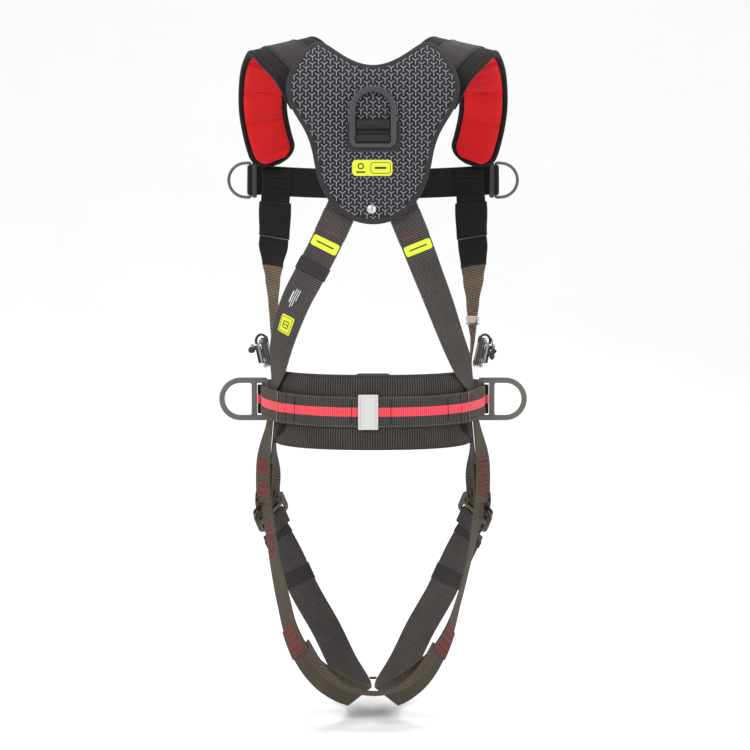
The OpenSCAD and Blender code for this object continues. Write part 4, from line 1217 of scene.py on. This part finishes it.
def belt_pad():
    """The ribbed pad and the binding round its edge."""
    # ribbed pad, swollen above and below the webbing
    turns = 1600
    line = [waist(PAD_TURN * (2 * k / turns - 1), 0) for k in range(turns + 1)]
    d = [0.0]
    for p, q in zip(line, line[1:]):
        d.append(d[-1] + hypot(q[0] - p[0], q[1] - p[1]))
    total = d[-1]
    cols = int(total / BELT_RIB) * 4
    rows = 34
    half = BELT_PAD_H / 2

    def angle_at(s):
        i = min(bisect_right(d, s) - 1, turns - 1)
        t = (s - d[i]) / (d[i + 1] - d[i])
        return PAD_TURN * (2 * (i + t) / turns - 1)

    def limits(s):
        """Lower and upper edge of the pad, with rounded corners."""
        cut = corner_cut(min(s, total - s), BELT_CORNER)
        return -half + cut, half - cut

    def face(s, v, side):
        a = angle_at(s)
        low, top = limits(s)
        z = low + (top - low) * v
        t = min(s, total - s) / 7
        end = dome(1 - min(t, 1.0))
        lip = dome(2 * v - 1, 14)
        e = (0.3 + 0.7 * lip) * (0.3 + 0.7 * end)
        swell = exp(-((abs(z) - 38) / 11) ** 2)
        rib = 0.28 * cos(TAU * s / BELT_RIB)
        if side > 0:
            off = 5 + (5.0 + 1.6 * swell - (0.5 if abs(z) < 25 else 0.0) + rib) * e
        else:
            off = 5 - (5.0 + 0.8 * swell + rib * 0.5) * e
        off += 0.35 * bumps(s * 0.02, z * 0.05, 4.0) * end
        x, y = waist(a, off)
        return Vector((x, y, -BELT_DROP + 0.03 * y + z))
    verts, uvs = [], []
    for k in range(cols + 1):
        s = total * k / cols
        low, top = limits(s)
        for side in (1, -1):
            for j in range(rows + 1):
                v = j / rows if side > 0 else 1 - j / rows
                verts.append(face(s, v, side))
                uvs.append((low + (top - low) * v, s))
    ob = add_mesh("belt_pad_ribbed", verts, rings_to_faces(cols + 1, 2 * (rows + 1)), RIBBED, uvs=uvs,
        replaces=("belt_pad",), slot="ribbed_belt", sharp=0)
    # binding round the pad's edge
    m = 110
    edge = [(3 + (total - 6) * k / m, 0.0) for k in range(m + 1)]
    edge += [(total - 3, k / 12) for k in range(1, 12)]
    edge += [(total - 3 - (total - 6) * k / m, 1.0) for k in range(m + 1)]
    edge += [(3, 1 - k / 12) for k in range(1, 12)]
    pts, ups = [], []
    for s, v in edge:
        a = angle_at(s)
        low, top = limits(s)
        vv = 0.012 + 0.976 * v
        x, y = waist(a, 5.0)
        x2, y2 = waist(a, 6.0)
        pts.append(Vector((x, y, -BELT_DROP + 0.03 * y + low + (top - low) * vv)))
        ups.append(Vector((x2 - x, y2 - y, 0)).normalized())
    for _ in range(3):
        pts = [(pts[k - 1] + 2 * pts[k] + pts[(k + 1) % len(pts)]) / 4 for k in range(len(pts))]
    frames = []
    for k, p in enumerate(pts):
        t = (pts[(k + 1) % len(pts)] - pts[k - 1]).normalized()
        frames.append((p, t.cross(ups[k]).normalized(), ups[k]))
    sweep("belt_pad_edge", frames, oval(2.6, 4.6, 14, 2.6), BINDING, closed=True, slot="binding", sharp=0)


def belt_web():
    """The webbing with a stitched fold on each side, its red stripe and its seams."""
    run = BELT_RUN
    folds = [belt_at(-FOLD_TURN), belt_at(FOLD_TURN)]

    def fold_lift(d):
        """A narrow upright fold stitched into the webbing on each side."""
        e = min(abs(d - f) for f in folds) / 6.0
        return 2.4 * exp(-e ** 6) - 0.9 * exp(-((e - 1.25) / 0.25) ** 2)
    ribbon("belt_web", run, WEB_W, -HALF_T, HALF_T, BELT_WEB, rib=0.3, pitch=3.2, cols=10, wob=0.3,
        lift=fold_lift, replaces=("belt_webbing",), slot="charcoal_webbing")
    start, end = [run.length * (0.5 + 0.5 * a / BELT_TURN) for a in (-86, 87)]
    ribbon("belt_stripe_tape", run, STRIPE_W, HALF_T - 0.3, HALF_T + 0.8, STRIPE, start, end, rib=0.3,
        pitch=3.1, cols=6, lift=fold_lift, replaces=("belt_stripe",), slot="red_tape")
    mid = run.length / 2
    spots = seam(mid - 170, -20.5, mid + 170, -20.5) + seam(mid - 170, 20.5, mid + 170, 20.5)
    stitches("belt_seams", run, spots, HALF_T + 0.25, GREY_THREAD)
    spots = []
    for c in (-31, 26, -118, 112):
        spots += zigzag(mid + c, -17, mid + c, 17, 1.6, 1.5)
    stitches("belt_tacks", run, spots, HALF_T + 0.85, DARK_THREAD)


def belt_end():
    """The webbing is turned back on itself beside the ring and runs round the ring's bar."""
    run = BELT_RUN
    a, b = belt_at(58), belt_at(85.5)
    ribbon("belt_end_*", run, WEB_W + 1.2, -HALF_T - 0.5, HALF_T + 0.3, BROWN, a, b, wob=0.2, rib=0.2,
        cap=1.0)
    spots = seam(b - 1.2, -21, b - 1.2, 21, 2.4, 0.7) + seam(a + 2, -21, a + 2, 21, 3.0, 0.7)
    stitches("belt_end_seams_*", run, spots, HALF_T + 0.5, CREAM_THREAD, r=0.42)
    # the webbing turns round the bar of the side ring
    z = belt_z(SIDE_Y)
    for name, high, r, mat in (("belt_turn", 21.5, 3.9, BLACK), ("belt_turn_stripe", 6.4, 4.3, STRIPE)):
        line = [(SIDE_X + 2.6, SIDE_Y, z - high + 2 * high * k / 12) for k in range(13)]
        tube(f"{name}_*", line, r, mat, n=20, flat=0.62 if high > 10 else 0.7)


def belt_label():
    """The bright label over the belt, and the materials of the front buckle."""
    y = -WEB_OFF[0][0]
    z = belt_z(y)
    plate("belt_label_patch", [rounded(29, 51, 1.6, -7, 0)], 1.6, 0.5, stand(0, y - 3.4, z), SILVER_TAPE,
        replaces=("belt_label_loop",), slot="silver_tape")
    flat = Run([[0, y - 4.35, z + k, 1, 0, 0] for k in (-40, 0, 40)])
    spots = seam(16, -18.2, 64, -18.2, 2.6, 0.6) + seam(16, 4.2, 64, 4.2, 2.6, 0.6)
    stitches("belt_label_seams", flat, spots, 0.001, GREY_THREAD, r=0.25)
    dress("belt_buckle_frame", STEEL, 0.9)
    dress("belt_buckle_prong", BRIGHT, 0.5)


# ---- side rings
SIDE_R, SIDE_REACH, SLOT_W = 32.0, 63.0, 11.5


def side_ring():
    """A flat D plate with a slot for the webbing."""
    cx = SIDE_REACH - SIDE_R
    x0 = -SLOT_W / 2 + 1 - 5.5
    stock = STOCK - 1
    outer = circle_arc(cx, 0, SIDE_R, 90, -90, 48)
    outer += circle_arc(x0 + 5, -SIDE_R + 5, 5, 270, 180, 8) + circle_arc(x0 + 5, SIDE_R - 5, 5, 180, 90, 8)
    ri = SIDE_R - stock
    bar = SLOT_W / 2 + 1 + stock
    hole = circle_arc(cx, 0, ri, 90, -90, 40)
    hole += circle_arc(bar + 3, -ri + 3, 3, 270, 180, 6) + circle_arc(bar + 3, ri - 3, 3, 180, 90, 6)
    slot = rounded(SLOT_W, WEB_W + 3, 1.5, 1, 0, 5)
    plate("side_ring_plate_*", [outer, hole, slot], 5.0, 1.5, stand(SIDE_X, SIDE_Y, belt_z(SIDE_Y)),
        SIDE_STEEL, body="side_d_ring_*_body", replaces=("side_d_ring_*",), slot="dark_steel", sharp=60)


# ---- hip straps and leg loops
HIP = [[147, 97, -393, .15, .99, 0], [151, 97, -425, .24, .97, 0], [160, 97, -475, .47, .88, 0],
    [160, 95, -538, .5, .86, 0]]
BRANCH = [[146, 112, -394, .05, 1, 0], [148, 116, -430, 0, 1, 0], [150, 126, -470, -.15, .97, .05],
    [150, 133, -505, -.42, .85, .3], [153, 132, -536, -.5, .75, .45]]
THIGH = [[151, 135, -581, -.63, .5, .54], [141, 143, -600, -.75, .3, .55], [126, 158, -633, -.84, .1, .52],
    [103, 168, -685, -.86, 0, .51], [72, 168, -740, -.86, 0, .51], [46, 150, -790, -.83, .05, .55],
    [24, 115, -820, -.79, .05, .61], [20, 70, -824, -.78, 0, .62], [22, 28, -816, -.78, 0, .62]]
SEAT_RIGHT = [[22, 28, -816, -.78, 0, .62], [38, -1, -802, -.77, -.12, .63], [64, -13, -781, -.65, -.4, .6],
    [90, -12, -752, -.45, -.7, .5], [111, 1, -716, -.28, -.88, .38], [127, 28, -672, -.15, -.95, .3],
    [143, 70, -618, -.15, -.95, .25], [153, 88, -572, -.3, -.93, .1], [160, 95, -534, -.42, -.9, 0],
    [157, 97, -478, -.4, -.9, 0]]
SEAT_LEFT = [[22, 28, -816, -.78, 0, .62], [40, -2, -803, -.77, -.12, .63], [70, -14, -783, -.66, -.38, .6],
    [100, -12, -752, -.5, -.62, .5], [120, 2, -714, -.42, -.76, .4], [133, 30, -670, -.4, -.84, .32],
    [146, 68, -622, -.33, -.9, .25], [154, 87, -572, -.35, -.92, .12], [160, 95, -534, -.42, -.9, 0],
    [157, 97, -478, -.4, -.9, 0]]
LINK = [[-99, -20, -729, .45, -.7, .5], [-75, -35, -762, .3, -.7, .5], [-46, -42, -786, .2, -.8, .4],
    [-16, -40, -797, .1, -.85, .4], [14, -40, -798, 0, -.85, .4], [44, -42, -787, -.2, -.8, .4],
    [71, -35, -764, -.3, -.7, .5], [92, -20, -733, -.45, -.7, .5]]
LINK_W = 25.0
LEG_PLACE = Vector((154, 132, -556))
LEG_ACROSS = Vector((-.63, .56, .54)).normalized()


def leg_matrix():
    """Place and turn of the right leg buckle."""
    down = LEG_ACROSS.cross(Vector((-.22, .38, -.9))).cross(LEG_ACROSS).normalized()
    off = down.cross(LEG_ACROSS)
    m = Matrix.Identity(4)
    for i in range(3):
        m[i][0], m[i][1], m[i][2], m[i][3] = -LEG_ACROSS[i], off[i], -down[i], LEG_PLACE[i]
    return m


def leg():
    """Hip strap with its branch, leg buckle, thigh strap and seat strap."""
    left = SIDE == "left"
    t = HALF_T
    hip = Run(HIP, 0.05)
    ribbon("hip_web_*", hip, WEB_W, 2.8, 2.8 + WEB_T, BROWN, rib=0.35, wob=0.3, replaces=("hip_strap_*",),
        slot="olive_webbing")
    m = leg_matrix()

    def beside(*spots):
        """Route points by a leg buckle, from how far up it and how far out from it they lie."""
        return [list(m @ Vector((0, out, up))) + list(LEG_ACROSS) for up, out in spots]
    branch = Run(BRANCH[:4] + beside((24, -3.6), (14, -3.4), (8.5, -0.6), (6.5, 1.2)), 0.1)
    ribbon("hip_branch_*", branch, WEB_W, -t, t, BROWN, rib=0.35, wob=0.3, seed=3)
    thigh = Run(THIGH, 0, 7.75)
    wrap = Run(beside((-34, -4.2), (-18, -3.8), (-10, -3.2), (-6.5, 0), (-10, 3.6), (-18, 4.2), (-27, 2.0)))
    ribbon("thigh_turn_*", wrap, WEB_W, -t, t, CHARCOAL, rib=0.4)
    ribbon("thigh_web_*", thigh, WEB_W, -t, t, CHARCOAL, rib=0.4, wob=0.3, replaces=("thigh_strap_*",),
        slot="charcoal_webbing")
    seat = Run(SEAT_LEFT if left else SEAT_RIGHT)
    ribbon("seat_web_*", seat, WEB_W, -t, t, OLIVE, rib=0.25, wob=0.5, replaces=("seat_strap_*",),
        slot="olive_webbing", seed=5)
    # red bar tacks on the hip strap, both faces
    ln = hip.length
    if left:
        spots = tack_block(ln - 64, ln - 44, -15, 15, 6, 3.0, 1.3) + tack_block(ln - 30, ln - 12, -15, 15,
            5, 3.0, 1.3)
    else:
        spots = tack_block(ln - 66, ln - 14, -15, 15, 11, 2.8, 1.6)
    stitches("hip_tacks_*", hip, spots, 2.8 + WEB_T + 0.3, RED_THREAD, r=0.3)
    # leg buckle
    turn = stand(0, 0, 0)
    plate("leg_frame_*", [rounded(66, 36, 8), rounded(50, 9, 2, 0, 7), rounded(50, 9, 2, 0, -8)], 3.5, 1.1,
        m @ turn, BRONZE, replaces=("leg_buckle_frame_*",), slot="bronze_steel")
    plate("leg_tongue_*", [rounded(56, 26, 6, 0, 8), rounded(47, 8, 2, 0, 12)], 3.0, 1.0,
        m @ Matrix.Translation((0, 4.6, 0)) @ turn, BRONZE, body="leg_buckle_tongue_*_body",
        replaces=("leg_buckle_tongue_*",), slot="bronze_steel")
    # keepers on the thigh strap
    for k, (s0, s1, grow) in enumerate(((0.5, 1.0, 2.6), (2.3, 2.75, 2.4))):
        a, b = thigh.at_s(s0), thigh.at_s(s1)
        ribbon(f"thigh_keeper_*_{k}", thigh, WEB_W + grow, -t - 1.4, t + 1.4, KEEPER, a, b, step=1.3,
            wob=0.5, cap=2.5, replaces=("leg_keepers",) if k == 0 and not left else (),
            slot="black_webbing", seed=k)
    # overlap patch where the link strap joins, with dense red thread
    a, b = seat.at_s(3.15), seat.at_s(4.15)
    ribbon("seat_patch_*", seat, WEB_W + 0.6, t + 0.1, t + 1.9, BROWN, a, b, rib=0.2, pitch=2.6, wob=0.2)
    spots = tack_block(a + 3, b - 3, -18, 18, 10, 3.0, 1.5)
    stitches("seat_patch_tacks_*", seat, spots, t + 2.1, RED_THREAD, r=0.3)
    stitches("seat_patch_back_*", seat, spots, -t - 0.3, RED_THREAD, r=0.3)
    if left:
        a, b = seat.at_s(6.15), seat.at_s(7.1)
        spots = tack_block(a, b, -15, 15, 11, 2.8, 1.6)
        on_both_faces(("seat_tacks_left", "seat_tacks_left_out"), seat, spots, t + 0.3, RED_THREAD, r=0.3)
    a = seat.at_s(7.15)
    ribbon("seat_keeper_*", seat, WEB_W + 2.4, -t - 1.6, t + 1.6, OLIVE, a, a + 7, wob=0.3, step=1.0,
        cap=2.0)


def link():
    """The narrow strap between the seat straps, and the tie at the crotch."""
    run = Run(LINK)
    t = HALF_T
    ribbon("link_web", run, LINK_W, -t, t, BROWN, rib=0.35, pitch=3.0, wob=0.3, replaces=("link_strap",),
        slot="olive_webbing")
    spots = seam(6, 9.5, run.length - 6, 9.5) + seam(6, -9.5, run.length - 6, -9.5)
    stitches("link_seams", run, spots, t + 0.2, GREY_THREAD, r=0.28)
    tube("leg_tie_cord", smooth_line([(-5, 114, -806), (-2, 113.6, -806.4), (2, 113.6, -806.4),
        (5, 114, -806)], 6), 2.0, BROWN, replaces=("leg_tie",), slot="olive_webbing")


# ---- build
back_pad()
pad_marks()
dorsal()
each_side(shoulder, front, adjuster, dorsal_strap, side_ring, leg)
slider()
each_side(chest_half)
chest_buckle()
belt_pad()
belt_web()
each_side(belt_end)
belt_label()
link()

# ---- floor, light and camera
scene = bpy.context.scene
FLOOR_Z = CAD_BOX[0][2] - 0.012


def floor():
    """A pale floor that curves up into a plain backdrop."""
    verts, faces = [], []
    outline = [(-40.0, 0.0), (2.5, 0.0)]
    outline += [(2.5 + 2.0 * sin(a), 2.0 - 2.0 * cos(a)) for a in [pi / 2 * k / 12 for k in range(1, 13)]]
    outline += [(4.5, 9.0)]
    for x in (-40.0, 40.0):
        for y, z in outline:
            verts.append((x, y, FLOOR_Z + z))
    n = len(outline)
    for k in range(n - 1):
        faces.append((k, n + k, n + k + 1, k + 1))
    me = bpy.data.meshes.new("studio_floor")
    me.from_pydata(verts, [], faces)
    me.polygons.foreach_set("use_smooth", [True] * len(me.polygons))
    m = Mat("studio_paper", 0.9, spec=0.1)
    o = m.coords()
    me.materials.append(m.finish(m.mix(m.noise(o, 3.0), (0.86, 0.86, 0.86, 1), (0.9, 0.9, 0.9, 1))))
    ob = bpy.data.objects.new("studio_floor", me)
    scene.collection.objects.link(ob)


def area(name, place, aim, size, power):
    """A round soft lamp in metres and watts."""
    lamp = bpy.data.lights.new(name, "AREA")
    lamp.shape = "DISK"
    lamp.size = size
    lamp.energy = power
    ob = bpy.data.objects.new(name, lamp)
    ob.location = place
    ob.rotation_euler = (Vector(aim) - Vector(place)).to_track_quat("-Z", "Y").to_euler()
    scene.collection.objects.link(ob)


CENTRE = Vector((0.0, 0.1, -0.34))
EYE, AIM = Vector((0.0029, -3.4915, -0.0959)), Vector((0.0029, 0.0, -0.34))
floor()
area("key", (-1.9, -2.6, 1.5), CENTRE, 1.6, 62)
area("fill", (2.4, -2.2, 0.5), CENTRE, 2.0, 30)
area("top", (0.2, 0.4, 2.4), CENTRE, 1.8, 34)
area("rim", (1.2, 2.2, 1.2), CENTRE, 1.6, 24)
world = bpy.data.worlds.new("studio")
world.use_nodes = True
world.node_tree.nodes["Background"].inputs[0].default_value = (1.0, 1.0, 1.0, 1)
world.node_tree.nodes["Background"].inputs[1].default_value = 0.85
scene.world = world
scene.view_settings.view_transform = "Standard"
scene.view_settings.look = "None"

cam = bpy.data.cameras.new("camera")
cam.lens = 115.9
cam.sensor_width = 36
cam.clip_end = 60
eye = bpy.data.objects.new("camera", cam)
eye.location = EYE
eye.rotation_euler = (AIM - EYE).to_track_quat("-Z", "Y").to_euler()
scene.collection.objects.link(eye)
scene.camera = eye
